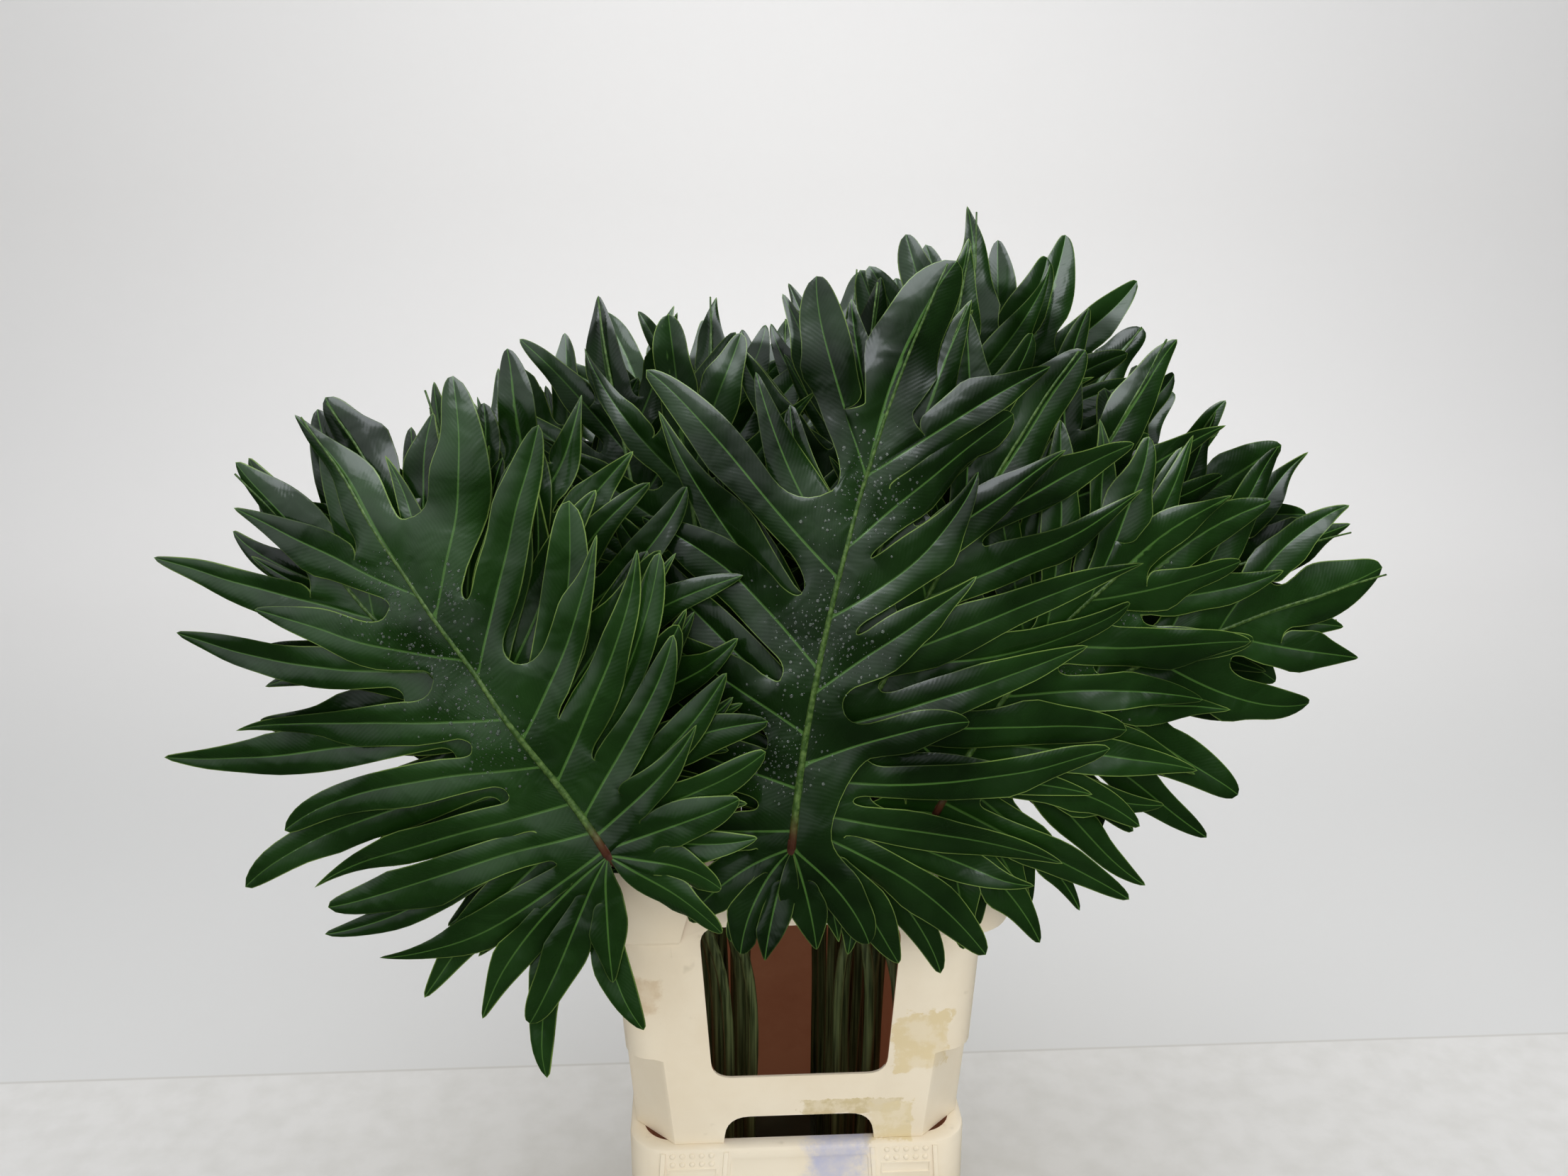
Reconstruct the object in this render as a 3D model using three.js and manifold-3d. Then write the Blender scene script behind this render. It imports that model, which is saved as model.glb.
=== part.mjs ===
// Cut xanadu philodendron leaves standing in a flower bucket with its collar.
//
// Millimetres, +Z up, origin at the middle of the bucket's underside, the display side towards -Y.
// The leaves are stacked like spoons. Each one is drawn flat as (across, up) on its own sheet. The sheets
// lie one behind the other, the front one nearly upright and the back one leaning away, so no two cross.

import * as THREE from 'three';
import { mergeVertices } from 'three/addons/utils/BufferGeometryUtils.js';
import Module from 'manifold-3d';

const wasm = await Module();
wasm.setup();

const DEGREE = Math.PI / 180;
const WALL = 3;
const CLEARANCE = 0.3;

// Bucket: a tapered tub with a flat ledge round its mouth and a skirt hanging from the ledge
const BUCKET_HEIGHT = 300;
const BUCKET_FOOT = { width: 252, depth: 356, corner: 26 };
const BUCKET_MOUTH = { width: 278, depth: 382, corner: 30 };
const BUCKET_LEDGE = { width: 298, depth: 402, corner: 34 };
const SKIRT_HEIGHT = 62;

// Collar: a tapered sleeve on the ledge, with a wide band round its top
const COLLAR_FOOT = { width: 287, depth: 389, corner: 44, flat: true };
const COLLAR_WAIST = { width: 299, depth: 402, corner: 38, flat: true };
const COLLAR_SHOULDER = { width: 314, depth: 416, corner: 34 };
const COLLAR_BAND = { width: 356, depth: 430, corner: 42 };
const WAIST_HEIGHT = 392;
const SHOULDER_HEIGHT = 506;
const BAND_HEIGHT = 512;
const RIM_HEIGHT = 594;
const WINDOW = { bottom: 370, top: 521, bottomWidth: 150, topWidth: 168, corner: 17 };
const BAND_BREAK = { bottom: 500, top: 600, bottomWidth: 206, topWidth: 150 };
const STRAIGHT_WALL_WIDTH = 214;
const NOTCH = { top: 328, bottomWidth: 134, topWidth: 126, corner: 14 };

// Water: what the cut stalks stand in
const WATER_LEVEL = 95;
const WATER_GAP = 0.4;

// Sheets
const SHEET_BASE = 600;
const FRONT_SHEET = -316;
const BACK_SHEET = 140;
const FRONT_LEAN = 8 * DEGREE;
const BACK_LEAN = 34 * DEGREE;
const NOD = 0.00016;
const BOW_SLOPE = 0.3;
const BOW_WIDTH = 130;
const RIPPLE = 6;
const BUNCH_TURN = -3 * DEGREE;
const BUNCH_SHIFT = 8;

// Leaf: lengths are shares of the blade's length, angles are from the midrib's heading
const BLADE_THICKNESS = 0.9;
const STALK_RADIUS = 4.9;
const STALK_TOP_RADIUS = 3.9;
const STALK_SIDES = 5;
const TERMINAL_ROOT = 0.63;
const TERMINAL_SINUS = { reach: 0.14, angle: 30 };
const TERMINAL_WIDTH = 0.135;
const LOBE_WIDTH = 0.088;
const BASAL_LOBE_WIDTH = 0.078;
const WEB_TOP = 0.15;
const WEB_FOOT = 0.125;
const LOBE_SHOULDER = 0.74;

// Lobes of one side from the tip down: where on the midrib, angle, length
const LOBES = [
  [0.585, 30, 0.4],
  [0.44, 43, 0.48],
  [0.3, 55, 0.55],
  [0.185, 66, 0.56],
  [0.09, 77, 0.54],
  [0.03, 93, 0.49],
  [0, 114, 0.42],
  [0, 139, 0.32],
];
const WIDE_LEFT = [
  [0.585, 30, 0.41],
  [0.44, 41, 0.44],
  [0.31, 55, 0.59],
  [0.2, 66, 0.59],
  [0.115, 70, 0.61],
  [0.05, 78, 0.59],
  [0.01, 90, 0.55],
  [0, 104, 0.46],
  [0, 123, 0.4],
  [0, 147, 0.25],
];
const WIDE_RIGHT = [
  [0.53, 47, 0.45],
  [0.4, 55, 0.5],
  [0.26, 60, 0.42],
  [0.16, 64, 0.48],
  [0.08, 71, 0.39],
  [0.04, 84, 0.3],
  [0.01, 107, 0.28],
  [0, 133, 0.22],
  [0, 158, 0.26],
];
const SLIM_LEFT = [
  [0.62, 38, 0.33],
  [0.45, 51, 0.45],
  [0.3, 58, 0.38],
  [0.19, 70, 0.33],
  [0.1, 82, 0.28],
  [0.03, 100, 0.24],
  [0, 128, 0.22],
  [0, 158, 0.21],
];
const SLIM_RIGHT = [
  [0.62, 42, 0.36],
  [0.5, 37, 0.36],
  [0.385, 42, 0.34],
  [0.26, 50, 0.33],
  [0.14, 64, 0.28],
  [0.07, 84, 0.23],
  [0.02, 106, 0.22],
  [0, 136, 0.22],
];

// Leaves from front to back: name, sheet, base (across, up), heading, bend, blade length, and the bundle its
// stalk belongs to (-1 left, 1 right)
const LEAVES = [
  ['leaf_left_1', -316, -143, 29, -38, 1, 397, -1],
  ['leaf_left_2', -309, -152, 41, -49, 0, 388, -1],
  ['leaf_left_3', -302, -160, 53, -35, 0, 366, -1],
  ['leaf_left_4', -295, -168, 64, -52, 4, 360, -1],
  ['leaf_left_5', -288, -172, 76, -24, 2, 312, -1],
  ['leaf_left_6', -281, -178, 89, -9, 2, 306, -1],
  ['leaf_centre_1', -274, -5, 25, 5, 21, 457, -1],
  ['leaf_centre_2', -267, 5, 37, 12, 12, 415, 1],
  ['leaf_centre_3', -260, 16, 50, 25, 12, 400, 1],
  ['leaf_right_1', -253, 107, 36, 27, 40, 345, 1],
  ['leaf_right_2', -246, 118, 50, 38, 28, 345, 1],
  ['leaf_right_3', -239, 130, 64, 62, 20, 404, 1],
  ['leaf_right_4', -232, 118, 79, 26, 10, 370, 1],
  ['leaf_centre_4', -222, -56, 98, -10, 2, 320, -1],
  ['leaf_centre_5', -211, 30, 104, 4, 4, 345, 1],
  ['leaf_centre_6', -200, 66, 112, 14, -3, 375, 1],
  ['leaf_right_5', -188, 128, 108, 66, 16, 388, 1],
  ['leaf_right_6', -176, 134, 118, 54, 12, 346, 1],
  ['leaf_right_7', -164, 128, 126, 84, 10, 360, 1],
  ['leaf_upper_left_1', -150, -100, 104, -16, 6, 336, -1],
  ['leaf_upper_right_1', -134, 80, 134, 25, -25, 388, 1],
  ['leaf_upper_left_2', -118, -112, 114, -33, 4, 307, -1],
  ['leaf_upper_right_2', -102, 96, 142, 28, -4, 378, 1],
  ['leaf_upper_left_3', -86, -120, 114, -50, 4, 314, -1],
  ['leaf_upper_right_3', -70, 110, 142, 43, -3, 345, 1],
  ['leaf_upper_left_4', -54, -68, 126, -4, 3, 308, -1],
  ['leaf_upper_right_4', -38, 34, 150, 4, 2, 316, 1],
  ['leaf_upper_left_5', -20, -124, 120, -68, 4, 330, -1],
  ['leaf_upper_right_5', -4, 116, 130, 65, -3, 355, 1],
  ['leaf_back_1', 20, -62, 140, -28, 4, 312, -1],
  ['leaf_back_2', 48, 52, 140, 24, -4, 340, 1],
  ['leaf_back_3', 78, -108, 118, -70, 6, 330, -1],
  ['leaf_back_4', 108, 108, 118, 68, -6, 335, 1],
  ['leaf_back_5', 140, -4, 126, -3, 4, 300, -1],
].map(([name, sheet, across, up, heading, bend, length, bundle]) => ({
  name,
  sheet,
  across,
  up,
  heading,
  bend,
  length,
  bundle,
}));

// Leaves whose lobes differ: their own lists, and how long the left and right lobes are
const LOBE_LISTS = {
  leaf_left_1: { left: WIDE_LEFT, right: WIDE_RIGHT, share: [1, 1] },
  leaf_left_2: { share: [1.22, 0.9] },
  leaf_left_3: { share: [1, 0.82] },
  leaf_left_5: { share: [0.9, 0.9] },
  leaf_left_6: { share: [0.85, 0.9] },
  leaf_right_3: { share: [0.95, 0.78] },
  leaf_right_5: { share: [1, 0.82] },
  leaf_right_7: { share: [0.9, 0.75] },
  leaf_centre_1: { left: SLIM_LEFT, right: SLIM_RIGHT, share: [1, 1] },
};
const BUNDLE_OUTER = 88;
const BUNDLE_COLUMN = 11;
const STALK_DEPTH = 150;
const STALK_ROOM = 1.2;
const SHORTEST_LOBE = 0.19;

const mix = (a, b, t) => a + (b - a) * t;
const clamp = (x, low, high) => Math.min(Math.max(x, low), high);
const smooth = (low, high, x) => {
  const t = clamp((x - low) / (high - low), 0, 1);
  return t * t * (3 - 2 * t);
};

// A repeatable draw from -1 to 1 for each leaf, lobe and purpose
function draw(leaf, lobe, purpose) {
  const x = Math.abs(Math.sin(leaf * 12.9898 + lobe * 78.233 + purpose * 37.719 + 4.1) * 43758.5453);
  return 2 * (x - Math.floor(x)) - 1;
}

// Flat drawing: headings are clockwise from up, in degrees
const towards = (from, heading, distance) => [
  from[0] + distance * Math.sin(heading * DEGREE),
  from[1] + distance * Math.cos(heading * DEGREE),
];

// End of an arc that starts at a heading and turns by bend over its length
function arcEnd(from, heading, bend, length) {
  const half = (bend / 2) * DEGREE;
  const chord = Math.abs(half) < 1e-6 ? length : (length * Math.sin(half)) / half;
  return towards(from, heading + bend / 2, chord);
}

function leanOf(leaf) {
  const back = clamp((leaf.sheet - FRONT_SHEET) / (BACK_SHEET - FRONT_SHEET), 0, 1);
  return mix(FRONT_LEAN, BACK_LEAN, back);
}

// A point of a leaf's sheet: across and up on the sheet, and out along its normal
function onSheet(leaf, [across, up], out) {
  const lean = leanOf(leaf);
  const slope = BOW_SLOPE * (1 - 0.9 * clamp((leaf.sheet + 230) / 370, 0, 1));
  const stretch = Math.hypot(1, across / BOW_WIDTH);
  const bow = slope * BOW_WIDTH * (stretch - 1);
  const bowSlope = (slope * across) / (BOW_WIDTH * stretch);
  const ripple = RIPPLE * Math.sin(across / 62 + 0.6) * Math.sin(up / 88 + 0.4);
  const normal = new THREE.Vector3(bowSlope * Math.cos(lean), -Math.cos(lean), Math.sin(lean)).normalize();
  const at = new THREE.Vector3(
    across,
    leaf.sheet + up * Math.sin(lean) + bow + NOD * up * up,
    SHEET_BASE + up * Math.cos(lean),
  );
  at.addScaledVector(normal, out + ripple);
  at.x += BUNCH_SHIFT;
  return at.applyAxisAngle(new THREE.Vector3(0, 0, 1), BUNCH_TURN);
}

// Where the other leaves' stalks pass through a leaf's sheet, as flat points
function stalksThrough(leaf) {
  const points = [];
  for (const other of LEAVES) {
    if (other === leaf) continue;
    const path = stalkPath(other);
    for (let i = 1; i < path.length; i++) {
      const steps = Math.ceil(path[i].distanceTo(path[i - 1]) / 5);
      for (let k = 0; k < steps; k++) {
        const at = path[i - 1].clone().lerp(path[i], k / steps);
        const lean = leanOf(leaf);
        const flat = [at.x, (at.z - SHEET_BASE) / Math.cos(lean)];
        let away = 0;
        for (let pass = 0; pass < 3; pass++) {
          const foot = onSheet(leaf, flat, 0);
          const out = onSheet(leaf, flat, 1).sub(foot);
          const off = at.clone().sub(foot);
          away = off.dot(out);
          off.addScaledVector(out, -away);
          flat[0] += off.x;
          flat[1] += off.z / Math.cos(lean);
        }
        if (Math.abs(away) < STALK_RADIUS + 4) points.push(flat);
      }
    }
  }
  return points;
}

// Lobes of one side, tip first, with each one's own small differences
function lobesOf(leaf, index, side) {
  const stalks = stalksThrough(leaf);
  const vein = (lobe, t) => arcEnd(lobe.root, lobe.heading, lobe.bend * t, lobe.length * t);
  // A lobe ends short of a stalk and, over the bucket's mouth, above the rim
  const meets = (lobe) => {
    for (let t = 0.2; t <= 1; t += 0.08) {
      const [x, up] = vein(lobe, t);
      if (leaf.sheet > -236 && Math.abs(x) < 196 && up < 14) return true;
      const room = lobe.width * halfWidth(t) + STALK_RADIUS + STALK_ROOM;
      if (stalks.some((s) => Math.hypot(s[0] - x, s[1] - up) < room)) return true;
    }
    return false;
  };
  const own = LOBE_LISTS[leaf.name] ?? {};
  const list = (side < 0 ? own.left : own.right) ?? LOBES;
  const share = (own.share ?? [1, 1])[side < 0 ? 0 : 1];
  const lobes = list.map(([at, plainAngle, plainLength], i) => {
    const number = side > 0 ? i : i + 12;
    const vary = list === LOBES ? 1 : 0.2;
    const root = arcEnd([leaf.across, leaf.up], leaf.heading, leaf.bend * at, leaf.length * at);
    const curl = mix(8, -8, Math.min(1, plainAngle / 120));
    const across = mix(LOBE_WIDTH, BASAL_LOBE_WIDTH, Math.min(1, plainAngle / 120));
    let best = { length: 0 };
    for (const turn of [0, 5, -5, 9, -9]) {
      const angle = plainAngle + 3 * vary * draw(index, number, 1) + turn;
      const lobe = {
        at,
        number,
        root,
        angle,
        length: plainLength * share * leaf.length * (1 + 0.09 * vary * draw(index, number, 2)),
        width: across * leaf.length * (1 + 0.08 * draw(index, number, 3)),
        web: mix(WEB_TOP, WEB_FOOT, Math.min(1, plainAngle / 70)),
        heading: leaf.heading + leaf.bend * at + side * (angle + curl),
        bend: -2 * side * curl,
      };
      while (lobe.length > 20 && meets(lobe)) lobe.length *= 0.94;
      if (lobe.length > best.length * 1.05) best = lobe;
    }
    return best;
  });
  return lobes.filter((lobe) => lobe.length > SHORTEST_LOBE * leaf.length);
}

// Half the width of a lobe, from where it leaves the web to its blunt tip
function halfWidth(t) {
  const widest = 0.6;
  if (t < widest) return 0.5 * mix(0.82, 1, smooth(0.2, widest, t));
  return 0.5 * Math.sqrt(Math.max(0, 1 - ((t - widest) / (1 - widest)) ** 2.4));
}

// Blade: triangles between the midrib, the web, the lobes' edges and their tips, alike on both faces
function bladeSolid(leaf, index) {
  const points = [];
  const triangles = [];
  const places = new Map();
  const add = (flat, out) => {
    const place = flat.map((v) => v.toFixed(2)).join();
    if (!places.has(place)) {
      places.set(place, points.length);
      points.push({ flat, out });
    }
    return places.get(place);
  };
  const face = (side, ...corners) => {
    for (let i = 2; i < corners.length; i++) {
      const t = [corners[0], corners[i - 1], corners[i]];
      if (new Set(t).size === 3) triangles.push(side > 0 ? t : [t[0], t[2], t[1]]);
    }
  };
  const base = [leaf.across, leaf.up];
  const midrib = (s) => arcEnd(base, leaf.heading, leaf.bend * s, leaf.length * s);
  const terminal = add(midrib(TERMINAL_ROOT), 0);
  const sinus = {};

  for (const side of [1, -1]) {
    const lobes = lobesOf(leaf, index, side);
    const fork = midrib(TERMINAL_ROOT - 0.04);
    const heading = leaf.heading + leaf.bend * TERMINAL_ROOT;
    const first = towards(fork, heading + side * TERMINAL_SINUS.angle, TERMINAL_SINUS.reach * leaf.length);
    let upperRoot = terminal;
    let upperWeb = add(first, 1.5);
    sinus[side] = upperWeb;
    lobes.forEach((lobe, i) => {
      const next = lobes[i + 1];
      const vein = (t) => arcEnd(lobe.root, lobe.heading, lobe.bend * t, lobe.length * t);
      const edge = (t, hand) =>
        towards(vein(t), lobe.heading + lobe.bend * t + 90 * hand, lobe.width * halfWidth(t));
      let lowerRoot;
      let lowerWeb;
      if (next) {
        const middle = (lobe.at + next.at) / 2;
        const between = (lobe.angle + next.angle) / 2;
        const at = towards(
          midrib(middle),
          leaf.heading + leaf.bend * middle + side * between,
          lobe.web * leaf.length,
        );
        lowerRoot = add(midrib(middle < 0.03 ? 0 : middle), 0);
        lowerWeb = add(at, 1.5);
      } else {
        lowerRoot = upperRoot;
        lowerWeb = add(edge(0.3, side), 1);
      }
      const lift = 2.2 * draw(index, lobe.number, 4);
      const upperEdge = add(edge(LOBE_SHOULDER, -side), 1 + lift * 0.5);
      const lowerEdge = add(edge(LOBE_SHOULDER, side), 1 + lift * 0.5);
      const tip = add(vein(1), lift);
      face(side, upperRoot, lowerRoot, lowerWeb, upperWeb);
      face(side, upperWeb, lowerWeb, lowerEdge, upperEdge);
      face(side, upperEdge, lowerEdge, tip);
      upperRoot = lowerRoot;
      upperWeb = lowerWeb;
    });
  }
  const end = midrib(0.82);
  const across = leaf.heading + leaf.bend * 0.82 + 90;
  const half = (TERMINAL_WIDTH / 2) * leaf.length;
  const right = add(towards(end, across, half), 1);
  const left = add(towards(end, across, -half), 1);
  face(1, terminal, sinus[1], right, left, sinus[-1]);
  face(1, right, add(midrib(1), 0), left);
  return thicken(leaf, points, triangles);
}

// Gives the drawn triangles a front and a back face and walls along their open edges
function thicken(leaf, points, triangles) {
  const count = points.length;
  const position = [];
  for (const offset of [BLADE_THICKNESS / 2, -BLADE_THICKNESS / 2])
    for (const point of points) position.push(...onSheet(leaf, point.flat, point.out + offset).toArray());
  const index = [];
  const edges = new Map();
  for (const [a, b, c] of triangles) {
    index.push(a, b, c, a + count, c + count, b + count);
    for (const [from, to] of [[a, b], [b, c], [c, a]]) {
      const back = `${to},${from}`;
      if (edges.has(back)) edges.delete(back);
      else edges.set(`${from},${to}`, [from, to]);
    }
  }
  for (const [from, to] of edges.values()) index.push(to, from, from + count, to, from + count, to + count);
  return closed(position, index);
}

// Where a stalk stands in the bucket: its bundle's leaves one behind the other, spread over five columns
function stalkPlace(leaf) {
  const bundle = LEAVES.filter((other) => other.bundle === leaf.bundle);
  const order = bundle.indexOf(leaf);
  const column = BUNDLE_OUTER - BUNDLE_COLUMN * ((order * 2) % 5);
  return [leaf.bundle * column, mix(-STALK_DEPTH, STALK_DEPTH, order / (bundle.length - 1))];
}

// Middle line of a stalk: from inside the blade, over the rim, and down to the bucket's floor
function stalkPath(leaf) {
  const [column, depth] = stalkPlace(leaf);
  const base = [leaf.across, leaf.up];
  const overRim = leaf.sheet <= -232;
  const mouth = clamp(mix(column, leaf.across, 0.55), -134, 134);
  const below = onSheet(leaf, towards(base, leaf.heading + 180, overRim ? 9 : 16), overRim ? -8 : -3);
  const path = [onSheet(leaf, towards(base, leaf.heading, 8), -1), onSheet(leaf, base, -2), below];
  if (overRim) {
    path.push(new THREE.Vector3(mix(below.x, mouth, 0.5), -204, RIM_HEIGHT + 4 + 1.05 * leaf.up));
    path.push(new THREE.Vector3(mouth, mix(-204, depth, 0.95), 560));
  } else {
    path.push(new THREE.Vector3(mix(below.x, mouth, 0.6), mix(below.y, depth, 0.5), mix(below.z, 560, 0.5)));
    path.push(new THREE.Vector3(mouth, mix(below.y, depth, 0.95), 556));
  }
  path.push(new THREE.Vector3(column, depth, 430));
  path.push(new THREE.Vector3(column * 0.92, depth, 230));
  path.push(new THREE.Vector3(column * 0.9, depth, WATER_LEVEL + 12));
  const curve = new THREE.CatmullRomCurve3(path, false, 'centripetal');
  return [...curve.getPoints(path.length + 1), new THREE.Vector3(column * 0.9, depth, WALL + CLEARANCE)];
}

// Stalk: a tapering tube of a few sides
function stalkSolid(leaf) {
  const path = stalkPath(leaf);
  const last = path.length - 1;
  const position = [];
  const index = [];
  path.forEach((at, i) => {
    const before = path[Math.max(i - 1, 0)];
    const after = path[Math.min(i + 1, last)];
    const along = i >= last - 1 ? new THREE.Vector3(0, 0, -1) : after.clone().sub(before).normalize();
    const side = new THREE.Vector3(1, 0, 0).addScaledVector(along, -along.x).normalize();
    const other = new THREE.Vector3().crossVectors(along, side);
    const radius = mix(STALK_TOP_RADIUS, STALK_RADIUS, Math.min(1, i / 5)) * (i === 0 ? 0.45 : 1);
    for (let k = 0; k < STALK_SIDES; k++) {
      const turn = ((k + 0.25) / STALK_SIDES) * 2 * Math.PI;
      const point = at.clone();
      point.addScaledVector(side, radius * Math.cos(turn)).addScaledVector(other, radius * Math.sin(turn));
      position.push(...point.toArray());
    }
    if (i === 0) return;
    const from = (i - 1) * STALK_SIDES;
    for (let k = 0; k < STALK_SIDES; k++) {
      const a = from + k;
      const b = from + ((k + 1) % STALK_SIDES);
      index.push(a, b, b + STALK_SIDES, a, b + STALK_SIDES, a + STALK_SIDES);
    }
  });
  const end = last * STALK_SIDES;
  for (let k = 1; k < STALK_SIDES - 1; k++) {
    index.push(0, k + 1, k);
    index.push(end, end + k, end + k + 1);
  }
  return closed(position, index);
}

// A solid from a closed geometry, or from plain lists of numbers
function solidOf(geometry) {
  geometry.deleteAttribute('normal');
  geometry.deleteAttribute('uv');
  const merged = mergeVertices(geometry, 1e-3);
  return new wasm.Manifold(
    new wasm.Mesh({
      numProp: 3,
      vertProperties: merged.attributes.position.array,
      triVerts: new Uint32Array(merged.index.array),
    }),
  );
}

function closed(position, index) {
  const geometry = new THREE.BufferGeometry();
  geometry.setAttribute('position', new THREE.Float32BufferAttribute(position, 3));
  geometry.setIndex(index);
  return solidOf(geometry);
}

// One ring of a container's wall: four corners, each an arc or a flat chamfer
function ring(section, height, inset = 0) {
  const points = [];
  const steps = 3;
  const halfWidthOf = section.width / 2 - inset;
  const halfDepth = section.depth / 2 - inset;
  const radius = Math.max(section.corner - inset, 1);
  for (const [sx, sy, start] of [[1, 1, 0], [-1, 1, 90], [-1, -1, 180], [1, -1, 270]]) {
    const cx = sx * (halfWidthOf - radius);
    const cy = sy * (halfDepth - radius);
    for (let k = 0; k <= steps; k++) {
      const turn = (start + (90 * k) / steps) * DEGREE;
      const round = [Math.cos(turn), Math.sin(turn)];
      const from = [Math.cos(start * DEGREE), Math.sin(start * DEGREE)];
      const to = [Math.cos((start + 90) * DEGREE), Math.sin((start + 90) * DEGREE)];
      const flat = [mix(from[0], to[0], k / steps), mix(from[1], to[1], k / steps)];
      const bulge = section.flat ? flat : round;
      points.push([cx + radius * bulge[0], cy + radius * bulge[1], height]);
    }
  }
  return points;
}

// Skins a run of rings. The run closes on itself, or is capped at both ends.
function loft(rings, loops) {
  const n = rings[0].length;
  const position = rings.flat(2);
  const index = [];
  const count = loops ? rings.length : rings.length - 1;
  for (let i = 0; i < count; i++) {
    const a = i * n;
    const b = ((i + 1) % rings.length) * n;
    for (let k = 0; k < n; k++) {
      const m = (k + 1) % n;
      index.push(a + k, a + m, b + m, a + k, b + m, b + k);
    }
  }
  if (!loops) {
    const last = (rings.length - 1) * n;
    for (let k = 1; k < n - 1; k++) {
      index.push(0, k + 1, k);
      index.push(last, last + k, last + k + 1);
    }
  }
  return closed(position, index);
}

// An upright prism with rounded corners that cuts through the walls along Y
function opening({ bottom, top, bottomWidth, topWidth, corner }, roundFoot) {
  const shape = new THREE.Shape();
  const low = bottomWidth / 2;
  const high = topWidth / 2;
  if (roundFoot) {
    shape.moveTo(-low + corner, bottom);
    shape.lineTo(low - corner, bottom);
    shape.quadraticCurveTo(low, bottom, low + 1, bottom + corner);
  } else {
    shape.moveTo(-low, bottom);
    shape.lineTo(low, bottom);
  }
  shape.lineTo(high, top - corner);
  shape.quadraticCurveTo(high, top, high - corner, top);
  shape.lineTo(-high + corner, top);
  shape.quadraticCurveTo(-high, top, -high, top - corner);
  if (roundFoot) {
    shape.lineTo(-low - 1, bottom + corner);
    shape.quadraticCurveTo(-low, bottom, -low + corner, bottom);
  }
  const geometry = new THREE.ExtrudeGeometry(shape, { depth: 600, bevelEnabled: false, curveSegments: 3 });
  return solidOf(geometry.rotateX(Math.PI / 2).translate(0, 300, 0));
}

function bucketSolid() {
  const ledgeUnder = BUCKET_HEIGHT - WALL;
  return loft(
    [
      ring(BUCKET_FOOT, 0),
      ring(BUCKET_MOUTH, ledgeUnder),
      ring(BUCKET_LEDGE, ledgeUnder, WALL),
      ring(BUCKET_LEDGE, BUCKET_HEIGHT - SKIRT_HEIGHT, WALL),
      ring(BUCKET_LEDGE, BUCKET_HEIGHT - SKIRT_HEIGHT),
      ring(BUCKET_LEDGE, BUCKET_HEIGHT),
      ring(BUCKET_MOUTH, BUCKET_HEIGHT, WALL),
      ring(BUCKET_FOOT, WALL, WALL),
    ],
    false,
  );
}

function collarSolid() {
  const foot = BUCKET_HEIGHT + CLEARANCE;
  const outer = [
    ring(COLLAR_FOOT, foot),
    ring(COLLAR_WAIST, WAIST_HEIGHT),
    ring(COLLAR_SHOULDER, SHOULDER_HEIGHT),
    ring(COLLAR_BAND, BAND_HEIGHT),
    ring(COLLAR_BAND, RIM_HEIGHT),
  ];
  const inner = [
    ring(COLLAR_BAND, RIM_HEIGHT, WALL),
    ring(COLLAR_BAND, BAND_HEIGHT + WALL, WALL),
    ring(COLLAR_SHOULDER, SHOULDER_HEIGHT + WALL, WALL),
    ring(COLLAR_WAIST, WAIST_HEIGHT, WALL),
    ring(COLLAR_FOOT, foot, WALL),
  ];
  return loft([...outer, ...inner], true)
    .subtract(bandBreakSolid())
    .add(straightWallSolid(-1))
    .add(straightWallSolid(1))
    .subtract(opening(WINDOW, true))
    .subtract(opening({ ...NOTCH, bottom: foot - 5 }, false));
}

// The band breaks off above each window, with slanted ends, and the wall runs straight up to the rim there
function bandBreakSolid() {
  const depth = COLLAR_SHOULDER.depth + 60;
  const low = ring({ width: BAND_BREAK.bottomWidth, depth, corner: 4 }, BAND_BREAK.bottom);
  const high = ring({ width: BAND_BREAK.topWidth, depth, corner: 4 }, BAND_BREAK.top);
  return loft([low, high], false);
}

function straightWallSolid(side) {
  const plate = { width: STRAIGHT_WALL_WIDTH, depth: WALL, corner: 1 };
  const middle = side * (COLLAR_SHOULDER.depth / 2 - WALL / 2);
  const at = (height) => ring(plate, height).map(([x, y, z]) => [x, y + middle, z]);
  return loft([at(SHOULDER_HEIGHT - 12), at(RIM_HEIGHT)], false);
}

function waterSolid() {
  const top = mix(0, 1, (WATER_LEVEL - WALL) / (BUCKET_HEIGHT - WALL));
  const surface = {
    width: mix(BUCKET_FOOT.width, BUCKET_MOUTH.width, top),
    depth: mix(BUCKET_FOOT.depth, BUCKET_MOUTH.depth, top),
    corner: mix(BUCKET_FOOT.corner, BUCKET_MOUTH.corner, top),
  };
  let water = loft(
    [ring(BUCKET_FOOT, WALL + CLEARANCE, WALL + WATER_GAP), ring(surface, WATER_LEVEL, WALL + WATER_GAP)],
    false,
  );
  LEAVES.forEach((leaf) => {
    const [column, depth] = stalkPlace(leaf);
    const radius = STALK_RADIUS + WATER_GAP / Math.cos(Math.PI / STALK_SIDES);
    const hole = new THREE.CylinderGeometry(radius, radius, 200, STALK_SIDES);
    water = water.subtract(solidOf(hole.rotateX(Math.PI / 2).translate(column * 0.9, depth, 60)));
  });
  return water;
}

function meshOf(name, solid, material) {
  const { vertProperties, triVerts } = solid.getMesh();
  const geometry = new THREE.BufferGeometry();
  geometry.setAttribute('position', new THREE.Float32BufferAttribute(vertProperties, 3));
  geometry.setIndex([...triVerts]);
  geometry.computeVertexNormals();
  const mesh = new THREE.Mesh(geometry, material);
  mesh.name = name;
  return mesh;
}

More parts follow.
